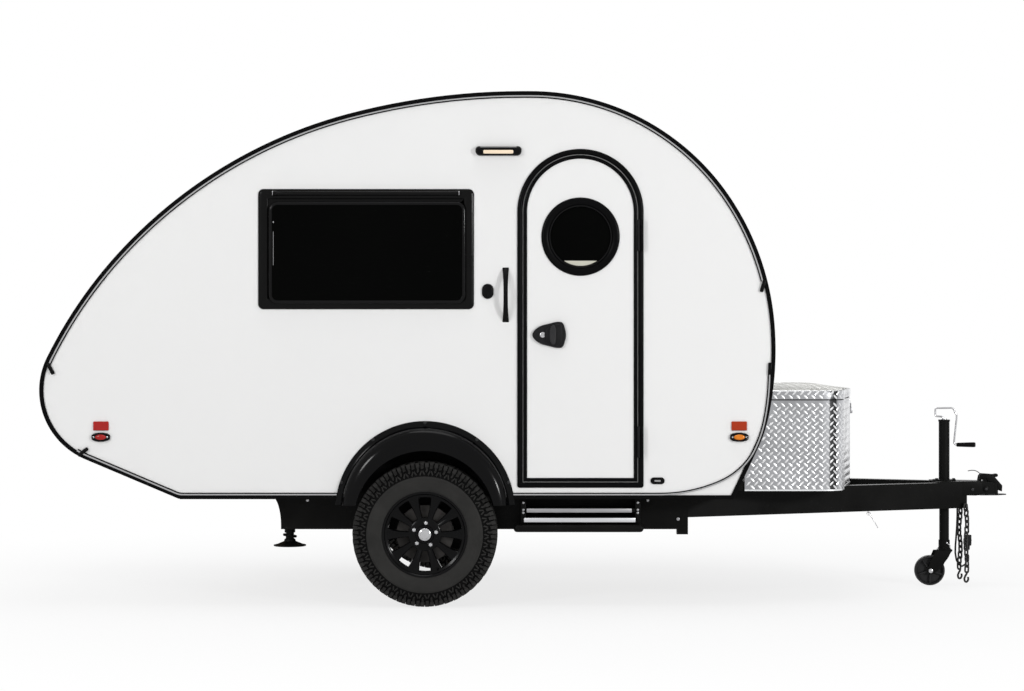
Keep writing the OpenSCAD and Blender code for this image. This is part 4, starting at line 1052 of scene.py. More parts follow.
def makeTyre():
    centre = (hubX, tyreY, hubZ)
    body = bmesh.new()
    latheShape(body, centre, tyreProfile(), steps=112, closed=True)
    bm = bmesh.new()
    pitch = math.tau / treadShape["pitches"]
    foot, top = tyreRadius - treadShape["depth"] - 0.004, tyreRadius - 0.0004
    # the rows of the two sides are half a pitch apart
    for s, shift in ((1, 0.0), (-1, 0.5)):
        for corners, deeper, lower in treadShape["blocks"]:
            treadBlock(bm, [(shift + t, s * a) for t, a in corners], foot - deeper, top - lower, pitch)
        for corners, rise in treadShape["lugs"]:
            sidewallLug(bm, [(shift + t, r) for t, r in corners], s, rise, pitch)
    spunRound(bm, centre, treadShape["pitches"])
    bmesh.ops.remove_doubles(bm, verts=bm.verts, dist=0.00002)
    # smooth sidewalls over the carcass, which is darker than the tread as painted shade in the grooves, with their
    # moulded rings
    rings = treadShape["rings"]
    for s in (1, -1):
        outer = [(radius, s * (sidewallAlong(radius) + up)) for radius, up in rings]
        inner = [(radius, s * (sidewallAlong(radius) - 0.004)) for radius, up in reversed(rings)]
        latheShape(bm, centre, outer + inner, steps=112, closed=True)
    for side, wheel, carcass in (("right", bm, body), ("left", mirrored(bm), mirrored(body))):
        addPiece(wheel, "tyre_tread_" + side, "wheel_" + side, "tyre", smooth=30, replaced=("tyre_" + side,))
        addPiece(carcass, "tyre_carcass_" + side, "wheel_" + side, "tyre_groove_painted_shade", smooth=30)

rim = {
    "face": 0.079, "depth": 0.03, "spokes": 10, "lugs": 5, "lugCircle": 0.057,
    # stations of a spoke from the hub to the rim: distance, half width, change of its face and of its back
    "stations": ((0.07, 0.0125, -0.004, 0), (0.12, 0.0165, 0.001, 0), (0.155, 0.0235, 0.004, 0.004),
                 (0.178, 0.0295, 0.006, 0.008), (0.190, 0.0335, 0.009, 0.012)),
}


# seen from outside, a spoke widens from the hub to the rim and is hollowed along its middle
def spokeShape(bm):
    loops = []
    for r, half, ahead, behind in rim["stations"]:
        front, deep = rim["face"] + ahead, rim["face"] - rim["depth"] + behind
        right = [(half, deep), (half * 0.96, front - 0.004), (half * 0.8, front), (half * 0.42, front - 0.001)]
        ring = [(-half, deep)] + right + [(0, front - 0.0035)] + [(-x, along) for x, along in reversed(right[1:])]
        loops.append(loopThrough(bm, [(hubX + x, tyreY - along, hubZ + r) for x, along in ring]))
    bridged(bm, loops, close=False)


def makeRim():
    centre = (hubX, tyreY, hubZ)
    spokes = bmesh.new()
    spokeShape(spokes)
    bmesh.ops.rotate(spokes, verts=spokes.verts, cent=centre, matrix=Matrix.Rotation(math.radians(18), 3, "Y"))
    spunRound(spokes, centre, rim["spokes"])
    bm = bmesh.new()
    # barrel, both lips and the ring that the spokes meet
    latheShape(bm, centre, [(0.201, -0.096), (0.208, -0.098), (0.2085, -0.092), (0.199, -0.084), (0.198, 0.082),
                            (0.2015, 0.086), (0.208, 0.094), (0.209, 0.099), (0.205, 0.1015), (0.200, 0.0985),
                            (0.1945, 0.091), (0.188, 0.0885), (0.183, 0.086), (0.181, 0.070), (0.190, 0.060),
                            (0.192, -0.070), (0.196, -0.092)], steps=128, closed=True)
    # hub with its face, and the cup round the cap
    latheShape(bm, centre, [(0.0, 0.050), (0.080, 0.050), (0.083, 0.062), (0.080, 0.074), (0.074, 0.078),
                            (0.046, 0.080), (0.043, 0.084), (0.036, 0.086), (0.033, 0.083), (0.0, 0.082)], steps=96)
    merged(bm, spokes)
    bothSides(bm, "wheel_spokes", "wheel_gloss", smooth=32, replaced="wheel_rim", wheel=True)
    # wheel nuts and a plain bright cap
    bm = bmesh.new()
    for i in range(rim["lugs"]):
        spot = Vector((hubX, tyreY - 0.083, hubZ)) + facing(84 + 72 * i) * rim["lugCircle"]
        rodShape(bm, spot, 0.0105, 0.012, segments=6, bevel=0.0012)
        rodShape(bm, spot + Vector((0, -0.009, 0)), 0.009, 0.009, segments=20, tip=0.0085, bevel=0.003)
    latheShape(bm, centre, [(0.0, 0.080), (0.031, 0.080), (0.0312, 0.087), (0.028, 0.0905), (0.022, 0.0915),
                            (0.021, 0.090), (0.0, 0.0905)], steps=64)
    bothSides(bm, "wheel_nuts", "bright_metal", smooth=40, wheel=True)
    # valve stem
    bm = bmesh.new()
    rodShape(bm, (hubX + 0.06, tyreY - 0.078, hubZ - 0.165), 0.004, 0.04, segments=16, bevel=0.001)
    bothSides(bm, "valve", "seal_rubber", wheel=True)
    print("wheels made")


hingeShape = {"foot": 0.223, "head": 1.236, "half": 0.077}      # heights over the door's foot, half length


def makeLeaf():
    y = -halfWidth
    leaf = doorPiece("door_leaf", "entry_door", "white_skin", [(0.030, -0.024), (0.030, 0.005), (0.031, 0.006)],
                     smooth=30, replaced=("entry_door",), plate=True, steps=32)
    cutter = bmesh.new()
    rodShape(cutter, ((paneLow[0] + paneHigh[0]) / 2, y, (paneLow[2] + paneHigh[2]) / 2), doorShape["hole"], 0.2,
             segments=96)
    cutOut(leaf, cutter)
    doorPiece("door_jamb", "trailer", "trim_black",
              [(0.0125, -0.025), (0.0125, 0.001), (0.0245, 0.001), (0.0245, -0.025)], replaced=("door_frame",))
    # slim hinges along the front side, in two halves
    x, half = doorHigh[0] - 0.008, hingeShape["half"]
    for rise in (hingeShape["foot"], hingeShape["head"]):
        z = doorLow[2] + rise
        bm = bmesh.new()
        boxShape(bm, (x - 0.0055, y - 0.026, z - half), (x + 0.008, y - 0.009, z + half), 0.004)
        addPiece(bm, "hinge_fixed", "trailer", "trim_black")
        bm = bmesh.new()
        boxShape(bm, (x - 0.022, y - 0.0165, z - half), (x - 0.008, y - 0.005, z + half), 0.003)
        addPiece(bm, "hinge_leaf", "entry_door", "latch_black")


handleShape = {
    "width": 0.0325, "waist": 0.021, "thick": 0.0075, "half": 0.135,
    # section of the strap, as shares of its half width and of its thickness
    "section": ((-1, 0.2), (-0.85, 0), (0, -0.02), (0.85, 0), (1, 0.2), (1, 0.8), (0.85, 1), (-0.85, 1), (-1, 0.8)),
}


def makeHandle():
    low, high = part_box("grab_handle")
    x, z = (low[0] + high[0]) / 2, (low[2] + high[2]) / 2
    half, out = handleShape["half"], high[1] - low[1]
    radius = (half ** 2 + out ** 2) / (2 * out) - 0.0005
    reach = math.asin(min(1, half / radius))
    bm = bmesh.new()
    loops = []
    for i in range(33):
        share = i / 16 - 1
        turn = reach * share
        w = (handleShape["waist"] + (handleShape["width"] - handleShape["waist"]) * share ** 2) / 2
        ring = []
        for across, deep in handleShape["section"]:
            r = radius - deep * handleShape["thick"]
            y = -halfWidth + radius - out - r * math.cos(turn) + 0.0005
            ring.append((x + across * w, y, z + r * math.sin(turn)))
        loops.append(loopThrough(bm, ring))
    bridged(bm, loops, close=False)
    addPiece(bm, "handle_strap", "trailer", "fitting_black", smooth=40, replaced=("grab_handle",))


def makePorchLight():
    low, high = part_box("porch_light")
    y = high[1]
    bm = bmesh.new()
    framePiece(bm, (low[0], high[0], low[2], high[2]), [0.022, 0.022, 0.018, 0.018],
               [(0, 0), (0, 0.012), (0.004, 0.026), (0.012, 0.033)], plate=True, wall=y)
    addPiece(bm, "porch_housing", "trailer", "fitting_black", smooth=40, replaced=("porch_light",))
    bm = bmesh.new()
    framePiece(bm, (low[0] + 0.038, high[0] - 0.04, low[2] + 0.008, low[2] + 0.026), 0.006,
               [(0, 0.028), (0, 0.0325), (0.002, 0.0338)], plate=True, wall=y)
    addPiece(bm, "porch_lens", "trailer", "warm_lens")
    # grey brow: painted highlight on the black housing's top bevel
    bm = bmesh.new()
    boxShape(bm, (low[0] + 0.024, y - 0.031, high[2] - 0.008), (high[0] - 0.024, y - 0.006, high[2] - 0.001), 0.003)
    addPiece(bm, "porch_brow", "trailer", "painted_light_grey")


def leftOnly(bm, name, finish):
    left = mirrored(bm)
    bm.free()
    addPiece(left, name, "trailer", finish, smooth=40)


fittingPlaces = {
    # offset from the door's middle, height over the skirt
    "port": (-0.454, 1.016),
    "oval": (0.378, 0.088),
    "inlets": ((-0.100, 0.420, 0.075, 0.075), (0.150, 0.250, 0.055, 0.065)),       # with half width and half height
    "vents": ((0.150, 0.490), (0.150, 1.040)),
    "ventHalf": (0.19, 0.075),
    "slats": 5,
}


def makeSideVent(x, z):
    y = -halfWidth
    w, h = fittingPlaces["ventHalf"]
    bm = bmesh.new()
    framePiece(bm, around(x, z, w, h), 0.016,
               [(0, 0), (0, 0.010), (0.005, 0.013), (0.018, 0.0135), (0.022, 0.010), (0.022, 0)])
    boxShape(bm, (x - w + 0.02, y - 0.0035, z - h + 0.02), (x + w - 0.02, y, z + h - 0.02))
    step = (2 * h - 0.04) / fittingPlaces["slats"]
    for i in range(fittingPlaces["slats"]):
        level = z - h + 0.02 + step * (i + 0.5)
        boxShape(bm, (x - w + 0.021, y - 0.0095, level - step * 0.2),
                 (x + w - 0.021, y - 0.005, level + step * 0.35), 0.001)
    leftOnly(bm, "side_vent", "vent_plastic")


def makeSideFittings():
    y = -halfWidth
    # oval port with its flap
    bm = bmesh.new()
    x, z = doorMiddle + fittingPlaces["port"][0], skirtZ + fittingPlaces["port"][1]
    framePiece(bm, around(x, z, 0.0285, 0.037), 0.028,
               [(0, 0), (0, 0.006), (0.003, 0.010), (0.010, 0.012)], plate=True)
    rodShape(bm, (x + 0.004, y - 0.012, z - 0.02), 0.005, 0.003, segments=16, bevel=0.001)
    # small oval fitting in the lower front corner
    x, z = doorMiddle + fittingPlaces["oval"][0], skirtZ + fittingPlaces["oval"][1]
    framePiece(bm, around(x, z, 0.0345, 0.0165), 0.016,
               [(0, 0), (0, 0.005), (0.003, 0.008), (0.008, 0.008), (0.011, 0.005)], plate=True)
    addPiece(bm, "port_covers", "trailer", "fitting_black", smooth=40, replaced=("side_fittings",))
    # grey slot on the black fitting: painted light in its opening
    bm = bmesh.new()
    framePiece(bm, around(x, z, 0.015, 0.004), 0.003, [(0, 0.005), (0, 0.0085)], plate=True)
    addPiece(bm, "port_slot", "trailer", "painted_light_grey")
    # left side: two lidded inlets and two vents
    bm = bmesh.new()
    for dx, dz, w, h in fittingPlaces["inlets"]:
        x, z = doorMiddle + dx, skirtZ + dz
        framePiece(bm, around(x, z, w, h), 0.02, [(0, 0), (0, 0.006), (0.004, 0.009)], plate=True)
        framePiece(bm, (x - w + 0.012, x + w - 0.012, z - h + 0.014, z + h - 0.006), 0.014,
                   [(0, 0.008), (0, 0.0105), (0.003, 0.012)], plate=True)
        rodShape(bm, (x, y - 0.0085, z + h - 0.006), 0.0032, w * 1.4, axis="X", segments=12)
    leftOnly(bm, "inlet_lids", "fitting_black")
    for dx, dz in fittingPlaces["vents"]:
        makeSideVent(doorMiddle + dx, skirtZ + dz)


def makeSideLamps():
    low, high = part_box("marker_lamps")
    y = -halfWidth
    z = low[2] + 0.023
    first = True
    for end, x, lens, reflector in (("rear", low[0] + 0.045, "red_lens", "red_lens"),
                                    ("front", high[0] - 0.045, "amber_lens", "orange_lens")):
        bm = bmesh.new()
        framePiece(bm, (x - 0.038, x + 0.038, z + 0.032, z + 0.077), 0.005, [(0, 0), (0, 0.005), (0.002, 0.008)],
                   plate=True)
        for pos, half in (("right", bm), ("left", mirrored(bm))):
            addPiece(half, "reflector_" + end + pos, "trailer", reflector,
                     replaced=("marker_lamps",) if first else ())
            first = False
        bm = bmesh.new()
        half = ((-0.045, 0.01), (-0.033, 0.018), (-0.012, 0.0222), (0.012, 0.0222), (0.033, 0.018), (0.045, 0.01))
        bezel = [(-0.045, -0.01)] + list(half) + [(u, -w) for u, w in reversed(half[1:])]
        plateShape(bm, [(x + u, z + w) for u, w in bezel], y, 0.014, 0.003, sharp=True)
        bothSides(bm, "lamp_bezel_" + end, "fitting_black", smooth=40)
        bm = bmesh.new()
        place = Matrix.Translation((x, y - 0.012, z)) @ Matrix.Diagonal((0.028, 0.0085, 0.0135, 1))
        bmesh.ops.create_uvsphere(bm, u_segments=32, v_segments=16, radius=1, matrix=place)
        bothSides(bm, "lamp_lens_" + end, lens, smooth=40)
        bm = bmesh.new()
        for s in (-1, 1):
            rodShape(bm, (x + s * 0.0335, y - 0.0145, z), 0.0042, 0.003, segments=16, bevel=0.001)
        bothSides(bm, "lamp_screws_" + end, "bright_metal", smooth=40)
    print("side lamps made")
slopeLean = 180 - sum(sweep for _, sweep, _ in outline["rear"])


# the slope of the rear lower panel: where it is and how it leans
def slopePlace(along, y, out=0.0):
    lean = math.radians(slopeLean)
    foot = Vector((slopeFootX(), 0, skirtZ))
    away = Vector((-math.cos(lean), 0, math.sin(lean)))
    normal = Vector((-math.sin(lean), 0, -math.cos(lean)))
    spot = foot + away * along + normal * out
    turn = Matrix.Rotation(math.radians(180) + lean, 4, "Y")
    return Matrix.Translation((spot.x, y, spot.z)) @ turn


def slopeFootX():
    bm = bmesh.new()
    wire = bodyWire(bm, 0, 0)
    foot = min(v.co.x for e in wire for v in e.verts if abs(v.co.z - skirtZ) < 0.001)
    bm.free()
    return foot


def placed(bm, place):
    bmesh.ops.transform(bm, matrix=place, verts=bm.verts)
    return bm


# how far up the slope a node's middle lies
def slopeSpot(name):
    low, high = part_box(name)
    lean = math.radians(slopeLean)
    run = Vector(((low[0] + high[0]) / 2 - slopeFootX(), (low[2] + high[2]) / 2 - skirtZ))
    return run.dot(Vector((-math.cos(lean), math.sin(lean))))


tailShape = {
    "lampIn": 0.21,        # from the side wall
    "plateIn": 0.48,
    "bezel": ((0.0, 0.0), (0.062, 0.0), (0.062, 0.010), (0.058, 0.014), (0.053, 0.014), (0.050, 0.008), (0.0, 0.008)),
    "lens": ((0.0, 0.006), (0.050, 0.006), (0.050, 0.014), (0.046, 0.018), (0.040, 0.020), (0.038, 0.018),
             (0.034, 0.021), (0.020, 0.0225), (0.018, 0.020), (0.014, 0.023), (0.0, 0.0236)),
}


def makeTailLamps():
    for y in (-halfWidth + tailShape["lampIn"], halfWidth - tailShape["lampIn"]):
        place = slopePlace(slopeSpot("tail_lamps"), y)
        bm = bmesh.new()
        latheShape(bm, (0, 0, 0), tailShape["bezel"], axis="Z", steps=48)
        addPiece(placed(bm, place), "tail_bezel", "trailer", "fitting_black",
                 replaced=("tail_lamps",) if y < 0 else ())
        bm = bmesh.new()
        latheShape(bm, (0, 0, 0), tailShape["lens"], axis="Z", steps=48)
        addPiece(placed(bm, place), "tail_lens", "trailer", "red_lens", smooth=30)
    bm = bmesh.new()
    boxShape(bm, (-0.082, -0.157, 0.001), (0.082, 0.157, 0.0058), 0.0015)
    for x in (-0.079, 0.074):
        boxShape(bm, (x, -0.154, 0.0055), (x + 0.005, 0.154, 0.0075), 0.0008)
    for s in (-1, 1):
        rodShape(bm, (0.062, s * 0.09, 0.0072), 0.005, 0.003, axis="Z", segments=6)
    place = slopePlace(slopeSpot("number_plate"), -halfWidth + tailShape["plateIn"])
    addPiece(placed(bm, place), "blank_plate", "trailer", "plate_blank", replaced=("number_plate",))


stepShape = {
    # x, z and front of the two treads and of the bar
    "upper": (-0.086, 0.431, 0.457, 0.4775, -0.930),
    "lower": (-0.0995, 0.448, 0.411, 0.433, -0.950),
    "bar": (-0.15, 0.488, 0.3625, 0.400, -0.9635),
    "back": -0.915,
    "posts": (-0.115, 0.448),
    "ridges": 7,
    "ridgePitch": 0.022,
    "boltX": (-0.102, 0.461),
    "boltZ": (0.505, 0.47, 0.455),
    "railBolts": (-1.18, -1.02, -0.1, 0.52),
}


def makeStep():
    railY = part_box("main_rail_right")[0][1]
    back, pitch = stepShape["back"], stepShape["ridgePitch"]
    bm = bmesh.new()
    for x in stepShape["posts"]:
        boxShape(bm, (x, back, 0.372), (x + 0.026, railY, 0.526), 0.003)
    for name in ("upper", "lower"):
        x0, x1, z0, z1, front = stepShape[name]
        boxShape(bm, (-0.089, front + 0.006, z0 + 0.001), (0.448, railY - 0.006, z1 - 0.002), 0.002)
        for k in range(stepShape["ridges"]):
            y = front + pitch + k * pitch
            boxShape(bm, (-0.08, y, z1 - 0.003), (0.44, y + 0.010, z1), 0.001)
    x0, x1, z0, z1, front = stepShape["bar"]
    boxShape(bm, (x0, front, z0), (x1, back, z1), 0.017, segments=5)
    boxShape(bm, (x0 + 0.03, back, z0 + 0.006), (x1 - 0.04, railY - 0.006, z0 + 0.012), 0.002)
    addPiece(bm, "step_frame", "trailer", "black_frame", smooth=40, replaced=("entry_step",))
    for name, finish in (("upper", "zinc"), ("lower", "step_alu")):
        bm = bmesh.new()
        x0, x1, z0, z1, front = stepShape[name]
        boxShape(bm, (x0, front, z0), (x1, front + 0.007, z1), 0.0025)
        addPiece(bm, "step_strip_" + name, "trailer", finish, smooth=40)
    bm = bmesh.new()
    for x in stepShape["boltX"]:
        for z in stepShape["boltZ"]:
            rodShape(bm, (x, back - 0.0015, z), 0.006, 0.006, segments=16, bevel=0.002)
    rodShape(bm, (0.672, railY - 0.003, 0.411), 0.009, 0.008, segments=6, bevel=0.001)
    for x in stepShape["railBolts"]:
        rodShape(bm, (x, railY - 0.003, 0.505), 0.008, 0.007, segments=6, bevel=0.001)
    addPiece(bm, "step_bolts", "trailer", "zinc", smooth=40)
    print("step made")


stabilizerShape = {
    "foot": ((0.0, 0.0), (0.080, 0.0), (0.082, 0.003), (0.081, 0.006), (0.066, 0.009), (0.040, 0.020),
             (0.030, 0.024), (0.027, 0.034), (0.021, 0.038), (0.0205, 0.05)),
    "ring": ((0.022, -0.004), (0.034, -0.005), (0.036, 0.0), (0.034, 0.005), (0.022, 0.004)),
    "ringRise": 0.052,
    "ringLean": 9,
}


def makeStabilizers():
    for side in ("right", "left"):
        low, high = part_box("stabilizer_leg_" + side)
        x, y, z = (low[0] + high[0]) / 2, (low[1] + high[1]) / 2, low[2]
        length = high[2] - z
        bm = bmesh.new()
        latheShape(bm, (x, y, z), [*stabilizerShape["foot"], (0.0205, length), (0.0, length)], axis="Z", steps=48)
        ring = bmesh.new()
        latheShape(ring, (0, 0, 0), stabilizerShape["ring"], axis="Z", steps=40, closed=True)
        lean = Matrix.Rotation(math.radians(stabilizerShape["ringLean"]), 4, "Y")
        merged(bm, placed(ring, Matrix.Translation((x, y, z + stabilizerShape["ringRise"])) @ lean))
        addPiece(bm, "stabilizer_foot_" + side, "stabilizer_" + side, "black_frame",
                 replaced=("stabilizer_leg_" + side,))


boxSheet = {
    "low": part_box("front_box")[0][2],
    "half": -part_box("front_box")[0][1],
    "nose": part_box("front_box")[1][0],
    "rear": 1.004,                           # where the rear face stands upright
    "gap": 0.0165,                           # to the body's front above that
    "high": 1.004,
    "lidFoot": 1.0095,
    "lidTop": 1.0525,
    "sheet": 0.004,
    "over": 0.003,                           # the lid stands out this much
    "levels": 24,
    "cell": (0.038, 0.0187),                 # along a row, between rows
    "lozenge": (0.0172, 0.0056, 0.0017),     # half length, half width, height
    "crown": 0.024,
    "crownMiddle": 1.36,
    "hinge": (0.505, 0.051, 1.059),          # distance across, between the leaves, height
}


# plan of the box as points, with its corners rounded
# with a height given, its rear keeps the gap to the body's curved front
def boxPlan(out=0.0, z=None):
    w, f, r = boxSheet["half"] + out, boxSheet["nose"] + out, boxSheet["rear"]
    if z is not None:
        r = max(r, frontAt(z) + boxSheet["gap"]) + max(0.0, -out)
    right = [(r, -w, 0), (f - 0.125, -w, 0), (f - 0.092, -0.49 - out, 0), (f, -0.10, 0)]
    points = right + [(x, -y, 0) for x, y, _ in reversed(right)]
    return rounded(points, 0.13, 8)


def planLoop(bm, out, z):
    return loopThrough(bm, [(p.x, p.y, z) for p in boxPlan(out, z)])


# front of the body at a height, found on the same arcs
def frontAt(z):
    height, recess, turned = roofZ, 0.0, 0.0
    for radius, sweep, _ in outline["front"]:
        a, b = math.radians(turned), math.radians(turned + sweep)
        drop = radius * (math.cos(a) - math.cos(b))
        if height - drop < z:
            inner = math.acos(math.cos(a) - (height - z) / radius)
            return crownX + recess + radius * (math.sin(inner) - math.sin(a))
        height -= drop
        recess += radius * (math.sin(b) - math.sin(a))
        turned += sweep
    return crownX + recess - (height - z) / math.tan(math.radians(180 - turned))


def lozenge(bm, spot, along, up, out, slant):
    length, width, height = boxSheet["lozenge"]
    a = (along * slant + up).normalized()
    b = a.cross(out).normalized()
    base = spot - out * 0.0004
    low = [bm.verts.new(base + a * length * u + b * width * w)
           for u, w in ((1, 0), (0.35, 1), (-0.35, 1), (-1, 0), (-0.35, -1), (0.35, -1))]
    high = [bm.verts.new(spot + out * height + a * length * u) for u in (0.5, -0.5)]
    for face in ((low[0], low[1], high[0]), (low[1], low[2], high[1], high[0]), (low[2], low[3], high[1]),
                 (low[3], low[4], high[1]), (low[4], low[5], high[0], high[1]), (low[5], low[0], high[0])):
        bm.faces.new(face)


# rows of lozenges along the plan between two heights: each row leans the other way
def lozengeRows(bm, out, z0, z1):
    points = boxPlan(out)
    cell, rise = boxSheet["cell"]
    travelled, column = 0.0, 0
    for p, q in zip(points, points[1:]):
        piece = (q - p).length
        along = (q - p).normalized()
        outward = along.cross(Vector((0, 0, 1)))
        while column * cell / 2 < travelled + piece:
            at = p + along * (column * cell / 2 - travelled)
            for row in range(column % 2, int((z1 - z0) / rise), 2):
                z = z0 + (row + 0.5) * rise
                if at.x > max(frontAt(z) + 0.033, boxSheet["rear"] + 0.013):
                    lozenge(bm, Vector((at.x, at.y, z)), along, Vector((0, 0, 1)), outward, 1 if row % 2 else -1)
            column += 1
        travelled += piece

def makeBox():
    z0, z1, sheet, over, top = (boxSheet[key] for key in ("low", "high", "sheet", "over", "lidTop"))
    foot = boxSheet["lidFoot"]
    half, (cell, rise) = boxSheet["half"], boxSheet["cell"]
    bm = bmesh.new()
    levels = [z0 + (z1 - z0) * i / boxSheet["levels"] for i in range(boxSheet["levels"] + 1)]
    loops = [planLoop(bm, 0, z) for z in levels]
    loops += [planLoop(bm, -sheet, z) for z in reversed(levels[1:])] + [planLoop(bm, -sheet, z0 + sheet)]
    bridged(bm, loops, close=False)
    addPiece(bm, "box_shell", "trailer", "tread_plate", replaced=("front_box",))
    # plain sheet inside, seen when the lid is open
    bm = bmesh.new()
    inside = [planLoop(bm, -sheet - 0.0008, z) for z in reversed(levels[1:])]
    inside.append(planLoop(bm, -sheet - 0.0008, z0 + sheet + 0.0008))
    bridged(bm, inside, close=False, fill=False)
    bmesh.ops.contextual_create(bm, geom=inside[-1])
    addPiece(bm, "box_lining", "trailer", "step_alu", shell=0.0005)
    # smooth flange round the bottom
    bm = bmesh.new()
    bridged(bm, [planLoop(bm, wider, z0 + up)
                 for wider, up in ((0.0016, 0), (0.0016, 0.007), (-0.001, 0.008), (-0.001, 0))])
    addPiece(bm, "box_flange", "trailer", "rail_metal")
    # lid: skirt and top in one shell
    bm = bmesh.new()
    loops = [planLoop(bm, over - inset, z) for inset, z in (
        (sheet, foot), (0, foot), (0, top - 0.008), (0.0025, top - 0.002), (0.008, top))]
    bridged(bm, loops, close=False, fill=False)
    inner = planLoop(bm, over - sheet, top - sheet)
    bmesh.ops.bridge_loops(bm, edges=loops[0] + inner)
    fillEnds(bm)
    addPiece(bm, "lid_shell", "box_lid", "tread_plate", replaced=("box_lid",))
    bm = bmesh.new()
    lozengeRows(bm, 0.0, z0 + 0.009, z1 - 0.001)
    addPiece(bm, "box_lozenges", "trailer", "tread_bars", smooth=25)
    bm = bmesh.new()
    lozengeRows(bm, over, foot + 0.003, foot + 0.003 + 2 * rise + 0.0001)
    addPiece(bm, "lid_lozenges", "box_lid", "tread_bars", smooth=25)
    bm = bmesh.new()
    plan = boxPlan(over - 0.02, top)
    for i in range(int(1.4 / cell)):
        for j in range(i % 2, int(2 * half / rise), 2):
            x, y = 0.95 + i * cell / 2, -half + (j + 0.5) * rise
            if x > frontAt(top) + 0.035 and insidePlan(plan, x, y):
                lozenge(bm, Vector((x, y, top + lidCrown(x, y))), Vector((1, 0, 0)), Vector((0, 1, 0)),
                        Vector((0, 0, 1)), 1 if j % 2 else -1)
    addPiece(bm, "lid_ribs", "box_lid", "tread_top", smooth=25)
    makeCrown()
    # dark seal in the seam, also standing for the painted shadow of the gap under the lid, its faces made in order
    # round the plan
    bm = bmesh.new()
    seam = [planLoop(bm, wider, z)
            for wider, z in ((-0.0025, 1.002), (-0.0025, 1.0092), (-0.012, 1.0092), (-0.012, 1.002))]
    for first, second in zip(seam, seam[1:] + seam[:1]):
        for a, b in zip(first, second):
            bm.faces.new((a.verts[0], a.verts[1], b.verts[1], b.verts[0]))
    addPiece(bm, "box_seal_and_shadow", "trailer", "seal_rubber")
    makeBoxFittings()
    print("front box made")


def smoothShare(t):
    t = min(1.0, max(0.0, t))
    return t * t * (3 - 2 * t)


# rise of the lid's crown over its edges
def lidCrown(x, y):
    across = max(0.0, 1 - (y / (boxSheet["half"] - 0.01)) ** 2)
    behind, ahead = (x - frontX - 0.02) / 0.16, (boxSheet["nose"] - 0.012 - x) / 0.22
    return boxSheet["crown"] * across * smoothShare(behind) * smoothShare(ahead)


def makeCrown():
    top = boxSheet["lidTop"]
    bm = bmesh.new()
    middle = Vector((boxSheet["crownMiddle"], 0, 0))
    steps = 12
    loops = []
    for i in range(steps):
        inward = [middle + (p - middle) * (1 - i / steps) for p in boxPlan(-0.006, top)]
        loops.append(loopThrough(bm, [(q.x, q.y, top - 0.0005 + lidCrown(q.x, q.y)) for q in inward]))
    bridged(bm, loops, close=False)
    addPiece(bm, "lid_crown", "box_lid", "tread_top")


def insidePlan(plan, x, y):
    inside = False
    for p, q in zip(plan, plan[1:] + plan[:1]):
        if (p.y > y) != (q.y > y) and x < p.x + (q.x - p.x) * (y - p.y) / (q.y - p.y):
            inside = not inside
    return inside

def makeBoxFittings():
    low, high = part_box("box_latch")
    x, z = low[0], low[2]
    bm = bmesh.new()
    # hasp and padlock body, with its shackle
    boxShape(bm, (x - 0.001, -0.03, z), (x + 0.006, 0.03, high[2]), 0.002)
    boxShape(bm, (x + 0.006, -0.016, z + 0.04), (x + 0.015, 0.016, high[2] - 0.002), 0.003)
    boxShape(bm, (x + 0.009, -0.017, z + 0.002), (x + 0.027, 0.017, z + 0.032), 0.004)
    shackle = ((-0.011, 0.028), (-0.011, 0.046), (0.0, 0.056), (0.011, 0.046), (0.011, 0.028))
    pipeShape(bm, [(x + 0.018, y, z + up) for y, up in shackle], 0.003)
    addPiece(bm, "box_hasp", "trailer", "zinc", smooth=40, replaced=("box_latch",))
    across, apart, hz = boxSheet["hinge"]
    hx, top = frontX + 0.011, boxSheet["lidTop"]
    for y in (-across, across):
        bm = bmesh.new()
        for k in (-1, 1):
            rodShape(bm, (hx, y + k * apart, hz), 0.0048, 0.05, segments=20, bevel=0.0008)
            boxShape(bm, (hx - 0.0155, y + k * apart - 0.025, hz + 0.0015), (hx, y + k * apart + 0.025, hz + 0.0045))
        addPiece(bm, "lid_hinge_fixed", "trailer", "step_alu")
        bm = bmesh.new()
        rodShape(bm, (hx, y, hz), 0.0048, 0.05, segments=20, bevel=0.0008)
        boxShape(bm, (hx, y - 0.025, top - 0.0005), (hx + 0.026, y + 0.025, top + 0.002), 0.0008)
        addPiece(bm, "lid_hinge_leaf", "box_lid", "step_alu")
    # bracket between the box and the body on both drawbars
    bm = bmesh.new()
    boxShape(bm, (0.970, -0.745, 0.556), (1.003, -0.715, 0.598), 0.003)
    boxShape(bm, (0.955, -0.745, 0.553), (1.003, -0.690, 0.562), 0.002)
    bothSides(bm, "box_bracket", "black_frame", smooth=40)


couplerShape = {
    # outlines in x and z
    "wing": ((2.105, 0.551), (2.135, 0.545), (2.175, 0.484), (2.30, 0.482), (2.33, 0.49), (2.33, 0.5515)),
    "lever": ((2.322, 0.553), (2.328, 0.585), (2.34, 0.596), (2.398, 0.592), (2.41, 0.578), (2.45, 0.532),
              (2.448, 0.50), (2.40, 0.52), (2.385, 0.552), (2.372, 0.552), (2.366, 0.572), (2.342, 0.572),
              (2.338, 0.553)),
    "wire": ((2.268, 0.609), (2.29, 0.6125), (2.312, 0.609), (2.334, 0.594)),
    "wingY": 0.0735,
    "pivot": (2.357, 0, 0.515),
}


